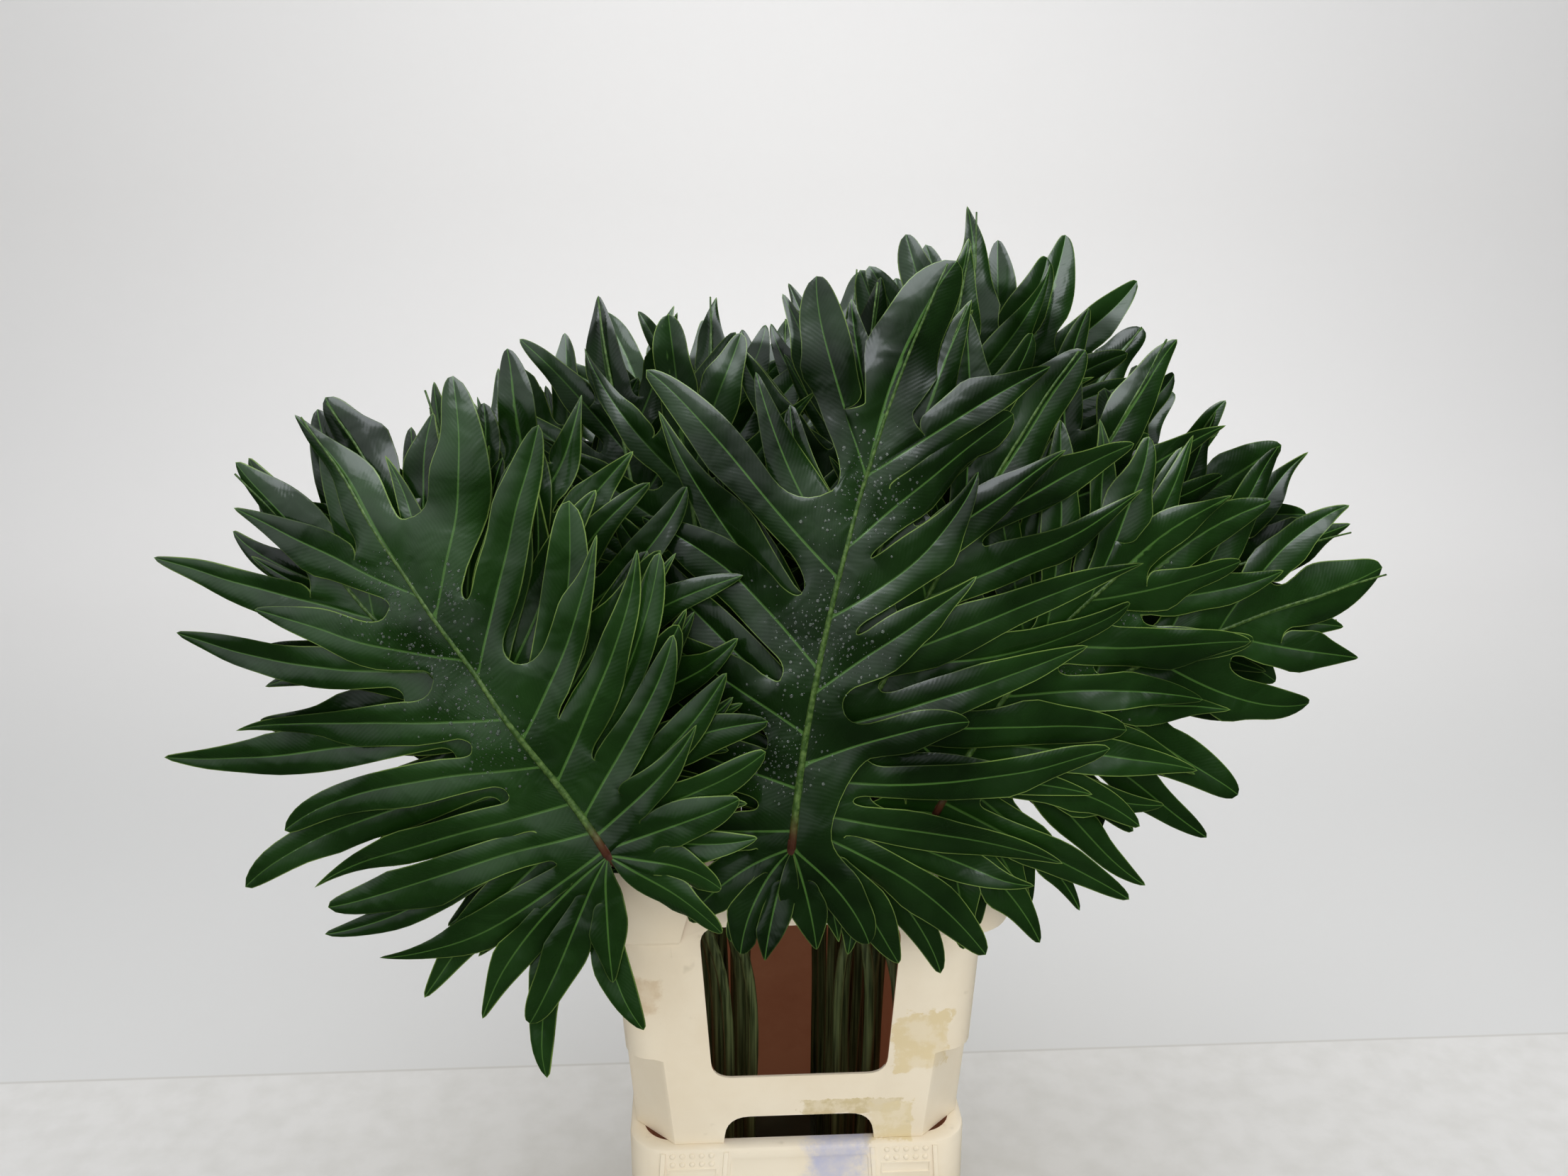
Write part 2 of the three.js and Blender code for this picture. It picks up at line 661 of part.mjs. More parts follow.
const creamPlastic = new THREE.MeshStandardMaterial({ color: 0xe9d9b6, roughness: 0.55, metalness: 0 });
const leafGreen = new THREE.MeshStandardMaterial({ color: 0x1f4a20, roughness: 0.3, metalness: 0 });
const clearWater = new THREE.MeshStandardMaterial({ color: 0x9fb3a8, roughness: 0.05, metalness: 0 });

const part = new THREE.Group();
part.add(meshOf('bucket', bucketSolid(), creamPlastic));
part.add(meshOf('collar', collarSolid(), creamPlastic));
part.add(meshOf('water', waterSolid(), clearWater));
LEAVES.forEach((leaf, index) => {
  const solid = bladeSolid(leaf, index).add(stalkSolid(leaf));
  part.add(meshOf(leaf.name, solid, leafGreen));
});

export default part;
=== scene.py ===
# %% [markdown]
# # A bunch of cut xanadu leaves in a flower bucket
#
# Xanadu is a philodendron whose leaf is cut into long fingers, the lobes. Growers cut the leaves with their
# stalks and stand them in a cream plastic bucket with a collar. This file dresses the solid model: it loads
# the solids, draws every leaf again with a fine surface, and gives all of it its finishes, light and
# camera. Lengths are in millimetres, angles in degrees, and a mesh gets its points in metres.

# %% Load the solids and keep their box
import math

import bpy
import numpy as np
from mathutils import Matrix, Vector


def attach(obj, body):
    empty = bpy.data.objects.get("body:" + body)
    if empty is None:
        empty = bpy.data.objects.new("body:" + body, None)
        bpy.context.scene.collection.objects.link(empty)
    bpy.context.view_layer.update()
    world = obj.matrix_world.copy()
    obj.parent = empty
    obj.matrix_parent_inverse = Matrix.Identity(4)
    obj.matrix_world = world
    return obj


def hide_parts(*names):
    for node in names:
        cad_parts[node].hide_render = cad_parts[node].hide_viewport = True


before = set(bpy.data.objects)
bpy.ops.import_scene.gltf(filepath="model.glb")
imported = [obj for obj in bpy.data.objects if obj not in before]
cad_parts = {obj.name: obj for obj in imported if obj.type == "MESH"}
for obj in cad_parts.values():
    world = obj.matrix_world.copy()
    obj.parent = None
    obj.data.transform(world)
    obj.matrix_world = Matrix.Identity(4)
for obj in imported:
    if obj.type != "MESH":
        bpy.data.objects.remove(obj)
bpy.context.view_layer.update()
MM = 0.001

# %% [markdown]
# ## Camera
#
# The camera stands a little above the leaves and looks down on them by 17 degrees, turned 3 degrees off the
# bucket's middle. A moderately wide lens shows the bunch and the top of the bucket. It is made first,
# because everything after it is judged through it.

# %% Place the camera
camera = bpy.data.objects.new("camera", bpy.data.cameras.new("camera"))
bpy.context.scene.collection.objects.link(camera)
camera.location = (-0.0681, -1.2411, 1.128)
camera.rotation_euler = (math.radians(73), 0, math.radians(-3))
camera.data.lens = 32.55
camera.data.clip_start = 0.05
bpy.context.scene.camera = camera
print("camera at", tuple(round(v, 3) for v in camera.location))

# %% [markdown]
# ## Where each leaf lies
#
# The leaves are stacked like spoons. Each one is drawn flat, as across and up on a sheet of its own, and
# the sheets lie one behind the other, so no two leaves cross. These are the numbers that the solids were
# made from, so the fine leaves take exactly the place of the plain ones.

# %% The numbers of the stack
# Sheets are numbered by how far back they lie. These are the first, the last, where they begin to flatten,
# which leaves have a fine surface, which stalks go over the rim and which leaves lie behind it
FRONT_SHEET, BACK_SHEET, FLATTER_FROM = -316, 140, -230
NEAR_SHEETS, OVER_RIM, BEHIND_RIM = -160, -232, -236
# The height every sheet hangs from, the width of its bow, how the bunch is turned and moved
HINGE, BOW = 600, 130
BUNCH_TURN, BUNCH_SHIFT = math.radians(-3), 8
RIM_HEIGHT, RIM_Y, MOUTH_HALF, WATER_LEVEL, WALL = 594, -204, 134, 95, 3
STALK_RADIUS, STALK_ROOM, BUNDLE_DEPTH = 4.9, 1.2, 150

# From the tip down: where on the midrib, angle from it, length
LOBES = [(0.585, 30, 0.4), (0.44, 43, 0.48), (0.3, 55, 0.55), (0.185, 66, 0.56),
         (0.09, 77, 0.54), (0.03, 93, 0.49), (0, 114, 0.42), (0, 139, 0.32)]
WIDE_LEFT = [(0.585, 30, 0.41), (0.44, 41, 0.44), (0.31, 55, 0.59), (0.2, 66, 0.59), (0.115, 70, 0.61),
             (0.05, 78, 0.59), (0.01, 90, 0.55), (0, 104, 0.46), (0, 123, 0.4), (0, 147, 0.25)]
WIDE_RIGHT = [(0.53, 47, 0.45), (0.4, 55, 0.5), (0.26, 60, 0.42), (0.16, 64, 0.48), (0.08, 71, 0.39),
              (0.04, 84, 0.3), (0.01, 107, 0.28), (0, 133, 0.22), (0, 158, 0.26)]
SLIM_LEFT = [(0.62, 38, 0.33), (0.45, 51, 0.45), (0.3, 58, 0.38), (0.19, 70, 0.33), (0.1, 82, 0.28),
             (0.03, 100, 0.24), (0, 128, 0.22), (0, 158, 0.21)]
SLIM_RIGHT = [(0.62, 42, 0.36), (0.5, 37, 0.36), (0.385, 42, 0.34), (0.26, 50, 0.33), (0.14, 64, 0.28),
              (0.07, 84, 0.23), (0.02, 106, 0.22), (0, 136, 0.22)]
OWN_LOBES = {
    "leaf_left_1": (WIDE_LEFT, WIDE_RIGHT, 1, 1),
    "leaf_left_2": (LOBES, LOBES, 1.22, 0.9),
    "leaf_left_3": (LOBES, LOBES, 1, 0.82),
    "leaf_left_5": (LOBES, LOBES, 0.9, 0.9),
    "leaf_left_6": (LOBES, LOBES, 0.85, 0.9),
    "leaf_right_3": (LOBES, LOBES, 0.95, 0.78),
    "leaf_right_5": (LOBES, LOBES, 1, 0.82),
    "leaf_right_7": (LOBES, LOBES, 0.9, 0.75),
    "leaf_centre_1": (SLIM_LEFT, SLIM_RIGHT, 1, 1),
}

# How much of the plain web is left between deep bays, and how wide the lobe at the tip is
DEEP_BAYS = {"leaf_centre_1": 0.5, "leaf_centre_2": 0.6, "leaf_centre_3": 0.6, "leaf_right_1": 0.65}
WIDE_ENDS = {"leaf_centre_1": 0.14, "leaf_left_1": 0.1, "leaf_centre_2": 0.12}
# Short lobes that hang from the base of some leaves: side, angle, length
HANGING = {
    "leaf_centre_1": [(-1, 172, 0.2), (1, 162, 0.19)],
    "leaf_centre_2": [(-1, 160, 0.26), (1, 152, 0.24), (-1, 182, 0.21)],
    "leaf_centre_3": [(-1, 168, 0.27), (-1, 196, 0.22)],
    "leaf_right_1": [(-1, 170, 0.24)],
}

# Front to back: name, sheet, base across and up, heading, bend, blade length, bundle of its stalk
LEAF_ROWS = [
    ("leaf_left_1", -316, -143, 29, -38, 1, 397, -1),
    ("leaf_left_2", -309, -152, 41, -49, 0, 388, -1),
    ("leaf_left_3", -302, -160, 53, -35, 0, 366, -1),
    ("leaf_left_4", -295, -168, 64, -52, 4, 360, -1),
    ("leaf_left_5", -288, -172, 76, -24, 2, 312, -1),
    ("leaf_left_6", -281, -178, 89, -9, 2, 306, -1),
    ("leaf_centre_1", -274, -5, 25, 5, 21, 457, -1),
    ("leaf_centre_2", -267, 5, 37, 12, 12, 415, 1),
    ("leaf_centre_3", -260, 16, 50, 25, 12, 400, 1),
    ("leaf_right_1", -253, 107, 36, 27, 40, 345, 1),
    ("leaf_right_2", -246, 118, 50, 38, 28, 345, 1),
    ("leaf_right_3", -239, 130, 64, 62, 20, 404, 1),
    ("leaf_right_4", -232, 118, 79, 26, 10, 370, 1),
    ("leaf_centre_4", -222, -56, 98, -10, 2, 320, -1),
    ("leaf_centre_5", -211, 30, 104, 4, 4, 345, 1),
    ("leaf_centre_6", -200, 66, 112, 14, -3, 375, 1),
    ("leaf_right_5", -188, 128, 108, 66, 16, 388, 1),
    ("leaf_right_6", -176, 134, 118, 54, 12, 346, 1),
    ("leaf_right_7", -164, 128, 126, 84, 10, 360, 1),
    ("leaf_upper_left_1", -150, -100, 104, -16, 6, 336, -1),
    ("leaf_upper_right_1", -134, 80, 134, 25, -25, 388, 1),
    ("leaf_upper_left_2", -118, -112, 114, -33, 4, 307, -1),
    ("leaf_upper_right_2", -102, 96, 142, 28, -4, 378, 1),
    ("leaf_upper_left_3", -86, -120, 114, -50, 4, 314, -1),
    ("leaf_upper_right_3", -70, 110, 142, 43, -3, 345, 1),
    ("leaf_upper_left_4", -54, -68, 126, -4, 3, 308, -1),
    ("leaf_upper_right_4", -38, 34, 150, 4, 2, 316, 1),
    ("leaf_upper_left_5", -20, -124, 120, -68, 4, 330, -1),
    ("leaf_upper_right_5", -4, 116, 130, 65, -3, 355, 1),
    ("leaf_back_1", 20, -62, 140, -28, 4, 312, -1),
    ("leaf_back_2", 48, 52, 140, 24, -4, 340, 1),
    ("leaf_back_3", 78, -108, 118, -70, 6, 330, -1),
    ("leaf_back_4", 108, 108, 118, 68, -6, 335, 1),
    ("leaf_back_5", 140, -4, 126, -3, 4, 300, -1),
]


def mix(a, b, t):
    return a + (b - a) * t


def share(low, high, x):
    """How far x is on its way from low to high, from 0 to 1."""
    return np.clip((x - low) / (high - low), 0, 1)


def smooth(low, high, x):
    t = share(low, high, x)
    return t * t * (3 - 2 * t)


class Leaf:
    def __init__(self, number, row):
        self.number = number
        self.name, self.sheet, across, up, self.heading, self.bend, self.length, self.bundle = row
        self.base = np.array([across, up], float)
        self.lean = math.radians(mix(8, 34, share(FRONT_SHEET, BACK_SHEET, self.sheet)))
        self.web = DEEP_BAYS.get(self.name, 0.75)
        self.end_width = WIDE_ENDS.get(self.name, 0.108)


leaves = [Leaf(number, row) for number, row in enumerate(LEAF_ROWS)]
print("leaves", len(leaves))


# %% From a flat leaf to its bent sheet
def towards(start, heading, distance):
    """A flat point at a heading clockwise from up, in degrees. Works on lists of headings too."""
    turn = np.radians(heading)
    return start + np.stack([distance * np.sin(turn), distance * np.cos(turn)], -1)


def arc_end(start, heading, bend, length):
    half = np.radians(np.asarray(bend, float) / 2)
    chord = np.where(np.abs(half) < 1e-6, length, length * np.sin(half) / np.where(half == 0, 1, half))
    return towards(start, heading + np.asarray(bend) / 2, chord)


def midrib(leaf, s):
    s = np.asarray(s, float)
    return arc_end(leaf.base, leaf.heading, leaf.bend * s, leaf.length * s)


def buckles(across, up):
    """The shallow dents that all the nested blades share, so that they still don't touch."""
    wide = np.sin(across / 27 + 0.9 * np.sin(up / 41)) * np.sin(up / 33 + 0.7 * np.sin(across / 37) + 1.1)
    return 3.4 * wide + 1.3 * np.sin(across / 14 + up / 23 + 0.5) * np.sin(up / 17 - across / 29)


def on_sheet(leaf, flat, out, buckle=1.0):
    """Points of a leaf's sheet: flat is across and up, out is along the sheet's normal."""
    across, up = flat[..., 0], flat[..., 1]
    slope = 0.3 * (1 - 0.9 * share(FLATTER_FROM, BACK_SHEET, leaf.sheet))
    stretch = np.hypot(1, across / BOW)
    bow_slope = slope * across / (BOW * stretch)
    ripple = 6 * np.sin(across / 62 + 0.6) * np.sin(up / 88 + 0.4) + buckle * buckles(across, up)
    lean = np.full_like(across, leaf.lean)
    normal = np.stack([bow_slope * np.cos(lean), -np.cos(lean), np.sin(lean)], -1)
    normal /= np.linalg.norm(normal, axis=-1, keepdims=True)
    depth = leaf.sheet + up * np.sin(lean) + slope * BOW * (stretch - 1) + 0.00016 * up * up
    at = np.stack([across, depth, HINGE + up * np.cos(lean)], -1) + normal * (out + ripple)[..., None]
    x, y = at[..., 0] + BUNCH_SHIFT, at[..., 1].copy()
    c, s = math.cos(BUNCH_TURN), math.sin(BUNCH_TURN)
    return np.stack([c * x - s * y, s * x + c * y, at[..., 2]], -1)


print("base of the front leaf", on_sheet(leaves[0], leaves[0].base, 0.0).round())

# %% [markdown]
# ## Stalks
#
# Each stalk leaves the back of its blade, passes over the rim or down through the mouth, and stands on the
# bucket's floor in the left or the right bundle. Its middle line is one smooth curve through a few points.

# %% The middle line of each stalk
def smooth_line(points, count):
    """A centripetal Catmull-Rom curve through the points, cut into count equal steps of its parameter."""
    p = np.asarray(points, float)
    p = np.vstack([2 * p[0] - p[1], p, 2 * p[-1] - p[-2]])
    found = []
    for k in range(count + 1):
        at = k / count * (len(points) - 1)
        i = min(int(at), len(points) - 2)
        w = at - i
        x0, x1, x2, x3 = p[i : i + 4]
        d0, d1, d2 = [((b - a) @ (b - a)) ** 0.25 for a, b in ((x0, x1), (x1, x2), (x2, x3))]
        d1 = max(d1, 1e-4)
        d0, d2 = (d if d > 1e-4 else d1 for d in (d0, d2))
        t1 = ((x1 - x0) / d0 - (x2 - x0) / (d0 + d1) + (x2 - x1) / d1) * d1
        t2 = ((x2 - x1) / d1 - (x3 - x1) / (d1 + d2) + (x3 - x2) / d2) * d1
        squared, cubed = -3 * x1 + 3 * x2 - 2 * t1 - t2, 2 * x1 - 2 * x2 + t1 + t2
        found.append(x1 + t1 * w + squared * w**2 + cubed * w**3)
    return np.array(found)


def stalk_points(leaf, buckle):
    """The points a stalk passes, and its foot. Stalks of the front leaves go over the rim."""
    bundle = [other for other in leaves if other.bundle == leaf.bundle]
    order = bundle.index(leaf)
    column = leaf.bundle * (88 - 11 * ((order * 2) % 5))
    depth = mix(-BUNDLE_DEPTH, BUNDLE_DEPTH, order / (len(bundle) - 1))
    over_rim = leaf.sheet <= OVER_RIM
    mouth = min(max(mix(column, leaf.base[0], 0.55), -MOUTH_HALF), MOUTH_HALF)
    flat = [towards(leaf.base, leaf.heading, 8), leaf.base,
            towards(leaf.base, leaf.heading + 180, 9 if over_rim else 16)]
    path = list(on_sheet(leaf, np.array(flat), np.array([-1, -2, -8.0 if over_rim else -3.0]), buckle))
    below = path[-1]
    if over_rim:
        path.append((mix(below[0], mouth, 0.5), RIM_Y, RIM_HEIGHT + 4 + 1.05 * leaf.base[1]))
        path.append((mouth, mix(RIM_Y, depth, 0.95), 560))
    else:
        path.append((mix(below[0], mouth, 0.6), mix(below[1], depth, 0.5), mix(below[2], 560, 0.5)))
        path.append((mouth, mix(below[1], depth, 0.95), 556))
    foot = column * 0.9
    path += [(column, depth, 430), (column * 0.92, depth, 230), (foot, depth, WATER_LEVEL + 12)]
    return np.array(path), np.array((foot, depth, WALL + 0.3))


for leaf in leaves:
    path, foot = stalk_points(leaf, 0)
    leaf.plain_stalk = np.vstack([smooth_line(path, len(path) + 1), foot])
    leaf.stalk = np.vstack([smooth_line(stalk_points(leaf, 1)[0], 56), foot])
lengths = [np.linalg.norm(np.diff(leaf.stalk, axis=0), axis=1).sum() for leaf in leaves]
print("longest stalk in mm", round(max(lengths)))

# %% [markdown]
# ## Lobes
#
# A lobe is a finger on its own vein, which leaves the midrib at an angle and bends a little. A lobe that
# would run into another leaf's stalk turns aside or stays shorter, as it would in a bunch that is packed by
# hand. No two lobes are alike: each takes its small differences from repeatable random numbers.

# %% Random numbers, and what each one is for
ANGLE, LENGTH, WIDTH, CURL, ROLL, BULK, SWAY, TIP_SWAY = 1, 2, 3, 4, 5, 12, 13, 14
BACK_CURL, FOLD, POINT, TONE = 24, 27, 28, 30
# The two halves of a lobe differ in these, and take the number before or the number after
WAVE, WAVE_START, BELLY, FULLNESS, TOOTH = 6, 9, 15, 18, 30
# Lobes are numbered from the tip down. The left side, the end and the hanging ones begin at these
LEFT_NUMBER, END_NUMBER, HANGING_NUMBER = 12, 30, 40


def draw(leaf, lobe, purpose):
    """A repeatable number from -1 to 1."""
    x = abs(math.sin(leaf * 12.9898 + lobe * 78.233 + purpose * 37.719 + 4.1) * 43758.5453)
    return 2 * (x - math.floor(x)) - 1


class Lobe:
    """Its vein starts at root and turns by bend over its length. sway pushes its belly and its tip aside."""

    sway = (0.0, 0.0)

    def __init__(self, leaf, number, root):
        self.leaf, self.number, self.root = leaf, number, root

    def draw(self, purpose):
        return draw(self.leaf.number, self.number, purpose)

    def heading_at(self, t):
        return self.heading + self.bend * t

    def vein(self, t):
        line = arc_end(self.root, self.heading, self.bend * t, self.length * t)
        aside = self.sway[0] * np.sin(math.pi * np.asarray(t)) + self.sway[1] * np.asarray(t) ** 4
        return line + towards(np.zeros(2), self.heading + 90 + self.bend * t, aside)


print("random turn of the first lobe", round(3 * draw(0, 0, ANGLE), 2), "degrees")


# %% Find the lobes of each leaf
def stalks_through(leaf):
    """Flat points of this leaf's sheet where the other leaves' stalks pass."""
    parts = []
    for other in leaves:
        if other is leaf:
            continue
        for a, b in zip(other.plain_stalk[:-1], other.plain_stalk[1:]):
            steps = math.ceil(np.linalg.norm(b - a) / 5)
            parts.append(a + (b - a) * (np.arange(steps) / steps)[:, None])
    at = np.vstack(parts)
    flat = np.stack([at[:, 0], (at[:, 2] - HINGE) / math.cos(leaf.lean)], -1)
    zero = np.zeros(len(at))
    for _ in range(3):
        foot = on_sheet(leaf, flat, zero, 0)
        out = on_sheet(leaf, flat, zero + 1, 0) - foot
        off = at - foot
        away = (off * out).sum(1)
        off = off - out * away[:, None]
        flat = flat + np.stack([off[:, 0], off[:, 2] / math.cos(leaf.lean)], -1)
    return flat[np.abs(away) < STALK_RADIUS + 4]


def plain_half_width(t):
    outer = 0.5 * np.sqrt(np.maximum(0, 1 - (np.maximum(t - 0.6, 0) / 0.4) ** 2.4))
    return np.where(t < 0.6, 0.5 * mix(0.82, 1, smooth(0.2, 0.6, t)), outer)


CHECKED = np.arange(0.2, 1.0001, 0.08)
PLAIN_HALF_WIDTHS = plain_half_width(CHECKED)


def shortened(lobe, stalks):
    """The lobe, cut down until it clears the stalks and, behind the rim, the collar."""
    room = lobe.width * PLAIN_HALF_WIDTHS + STALK_RADIUS + STALK_ROOM
    while lobe.length > 20:
        on_vein = lobe.vein(CHECKED)
        low = lobe.leaf.sheet > BEHIND_RIM and ((abs(on_vein[:, 0]) < 196) & (on_vein[:, 1] < 14)).any()
        gap = np.linalg.norm(on_vein[:, None] - stalks[None], axis=2)
        if not (low or (gap < room[:, None]).any()):
            break
        lobe.length *= 0.94
    return lobe


def lobes_of(leaf, side, stalks):
    left, right, left_stretch, right_stretch = OWN_LOBES.get(leaf.name, (LOBES, LOBES, 1, 1))
    rows, stretch = (left, left_stretch) if side < 0 else (right, right_stretch)
    vary = 1 if rows is LOBES else 0.2
    found = []
    for i, (at, plain_angle, plain_length) in enumerate(rows):
        number = i if side > 0 else i + LEFT_NUMBER
        curl = mix(8, -8, share(0, 120, plain_angle))
        across = mix(0.088, 0.078, share(0, 120, plain_angle))
        best = None
        for turn in (0, 5, -5, 9, -9):
            lobe = Lobe(leaf, number, midrib(leaf, at))
            lobe.at = at
            lobe.angle = plain_angle + 3 * vary * lobe.draw(ANGLE) + turn
            lobe.length = plain_length * stretch * leaf.length * (1 + 0.09 * vary * lobe.draw(LENGTH))
            lobe.width = across * leaf.length * (1 + 0.08 * lobe.draw(WIDTH))
            lobe.web = leaf.web * mix(0.15, 0.125, share(0, 70, plain_angle))
            lobe.heading = leaf.heading + leaf.bend * at + side * (lobe.angle + curl)
            lobe.bend = -2 * side * curl
            shortened(lobe, stalks)
            if best is None or lobe.length > best.length * 1.05:
                best = lobe
        if best.length > 0.19 * leaf.length:
            best.width *= 1 + 0.12 * best.draw(BULK)
            best.sway = (0.042 * best.length * best.draw(SWAY), 0.13 * best.length * best.draw(TIP_SWAY))
            found.append(best)
    for turn, (where, angle, length) in enumerate(HANGING.get(leaf.name, [])):
        if where == side:
            lobe = Lobe(leaf, HANGING_NUMBER + turn, leaf.base)
            lobe.at, lobe.angle, lobe.length, lobe.width = 0, angle, length * leaf.length, 0.072 * leaf.length
            lobe.web, lobe.heading, lobe.bend = leaf.web * 0.125, leaf.heading + side * (angle - 6), 12 * side
            found.append(lobe)
    return found


for leaf in leaves:
    stalks = stalks_through(leaf)
    leaf.lobes = {side: lobes_of(leaf, side, stalks) for side in (1, -1)}
print("lobes", sum(len(l.lobes[1]) + len(l.lobes[-1]) for l in leaves))

# %% [markdown]
# ## Blades
#
# A blade is woven from strips. Each lobe has two, one on either side of its vein, and each strip's rows run
# from the vein to the border: first the line that the lobe shares with its neighbour, then the round bay
# between the two, then the free edge out to the tip. The strips meet point for point, so the blade is one
# skin.
#
# The skin of the real leaf is stiff and far from flat. The web between two veins is blown up like a pillow,
# both halves of a lobe arch away from the sunken vein, every lobe rolls a little about its vein, which puts
# its upper edge in front, and its tip curls back. All of it is counted out from the sheet.

# %% The free edge of a lobe, and the bay beside it
WEB_ROWS, BAY_ROWS, EDGE_ROWS = 7, 6, 15
WEB_STEPS = np.linspace(0, 1, WEB_ROWS + 1)
BAY_STEPS, EDGE_STEPS = (np.linspace(0, 1, rows + 1)[1:] for rows in (BAY_ROWS, EDGE_ROWS))


def half_width(t, belly, point):
    """Half the width of a lobe as a share of its width: neck, belly, taper and blunt tip, slim at point 1."""
    x = share(belly, 1, t)
    tip = 0.5 * (1 - mix(0.4, 0.85, point) * x**1.3) * (1 - x ** mix(7, 3.5, point)) ** 0.5
    return np.where(t < belly, 0.5 * mix(0.72, 1.0, smooth(0.1, belly, t)), tip)


def nearest(points, line):
    """How far flat points lie from the points of a line."""
    return np.sqrt(((points[..., None, :] - line) ** 2).sum(-1)).min(-1)


def direction(heading):
    return towards(np.zeros(2), heading, 1.0)


def border_of(lobe, hand, neighbour):
    """The free edge of one half of a lobe, as a function of the way along its vein."""
    point = 0.5 + 0.5 * lobe.draw(POINT)
    belly = mix(0.56, 0.36, point) + 0.08 * lobe.draw(BELLY + hand)
    full = 1 + 0.1 * lobe.draw(FULLNESS + hand)
    tooth, tooth_at = 0.34 * max(lobe.draw(TOOTH + hand), 0), 0.62 + 0.1 * lobe.draw(WAVE_START + hand)
    other = neighbour.vein(np.linspace(0.1, 1, 24)) if neighbour else None

    def border(t):
        t = np.asarray(t, float)
        waved = 1 + 0.13 * np.sin(2 * math.pi * (1.3 * t + lobe.draw(WAVE + hand))) * np.sin(math.pi * t)
        waved = waved + tooth * np.exp(-(((t - tooth_at) / 0.09) ** 2))
        width = 1.04 * lobe.width * full * half_width(t, belly, point) * waved
        if other is not None:
            width = np.minimum(width, np.maximum(0.56 * nearest(lobe.vein(t), other), 0.55 * width))
        return towards(lobe.vein(t), lobe.heading_at(t) + 90 * hand, width)

    return border


def open_bay(lobe, border, inner):
    """The last lobe's edge runs down to the stalk: where the shared line and the bay end, and the bay."""
    web_t, bay_t, t = 0.03, 0.3, BAY_STEPS[:, None]
    end = border(bay_t)
    web = mix(inner, end, 0.16)
    bend_at = mix(inner, end, 0.5) + 0.12 * (end - lobe.vein(bay_t))
    return web, web_t, bay_t, (1 - t) ** 2 * web + 2 * t * (1 - t) * bend_at + t**2 * end


def round_bay(lobe, border, web, bisector):
    """The same beside a neighbour: the bay is round and begins at the end of their shared line, web."""
    web_t = float(np.clip((web - lobe.root) @ direction(lobe.heading_at(0.2)) / lobe.length, 0.08, 0.62))
    spare = np.linalg.norm(web - lobe.vein(web_t)) - lobe.width * 0.42
    bay_t, t = min(web_t + (max(spare, 4) * 1.1 + 5) / lobe.length, 0.86), BAY_STEPS[:, None]
    end = border(bay_t)
    outwards = direction(bisector)
    aside = np.array([outwards[1], -outwards[0]])
    if aside @ (end - web) < 0:
        aside = -aside
    wide, long = aside @ (end - web), max(outwards @ (end - web), 1)
    c1, c2 = web + aside * wide * 0.62, end - direction(lobe.heading_at(bay_t)) * long * 0.55
    bay = (1 - t) ** 3 * web + 3 * t * (1 - t) ** 2 * c1 + 3 * t**2 * (1 - t) * c2 + t**3 * end
    return web, web_t, bay_t, bay


print("rows in a strip", WEB_ROWS + 1 + BAY_ROWS + EDGE_ROWS)

# %% Weave the strips of a blade
FINE_ACROSS = np.array([0, 0.1, 0.3, 0.54, 0.78, 1.0])
PLAIN_ACROSS = np.array([0, 0.14, 0.42, 0.72, 1.0])
# Row by row: how free of the web the lobe is, and how far the web has risen from the midrib
FREE = smooth(0, 1, np.concatenate([np.zeros(WEB_ROWS + 1), BAY_STEPS, np.ones(EDGE_ROWS)]))[:, None]
RISE = np.concatenate([np.sin(WEB_STEPS * math.pi / 2), np.ones(BAY_ROWS + EDGE_ROWS)])[:, None]
END_FROM, END_LENGTH = 0.63, 0.37


def relief(lobe, hand, side, span, t, v):
    """How far a strip stands out from the sheet, at v of its span from the vein to the border."""
    roll = math.tan(math.radians(8 + 15 * lobe.draw(ROLL))) * -hand * side
    pillow = RISE * np.minimum(3.9, 0.14 * span) * np.sin(v * math.pi / 2) ** 0.85
    arch = span * (0.09 * np.sin(v * math.pi * 0.9) + (0.04 + 0.16 * lobe.draw(FOLD)) * v)
    rolled = roll * span * v * smooth(0, 0.35, t - t[WEB_ROWS])
    waves = (1.6 + 0.7 * lobe.draw(WAVE + hand)) * t + lobe.draw(WAVE_START + hand)
    frill = 3.0 * v**2 * np.sin(2 * math.pi * waves) * np.sin(math.pi * t)
    curl = 8 * lobe.draw(CURL) * t**1.5 - (4 + 3 * lobe.draw(BACK_CURL)) * t**4
    return mix(pillow, arch, FREE) + FREE * (rolled + frill) + curl


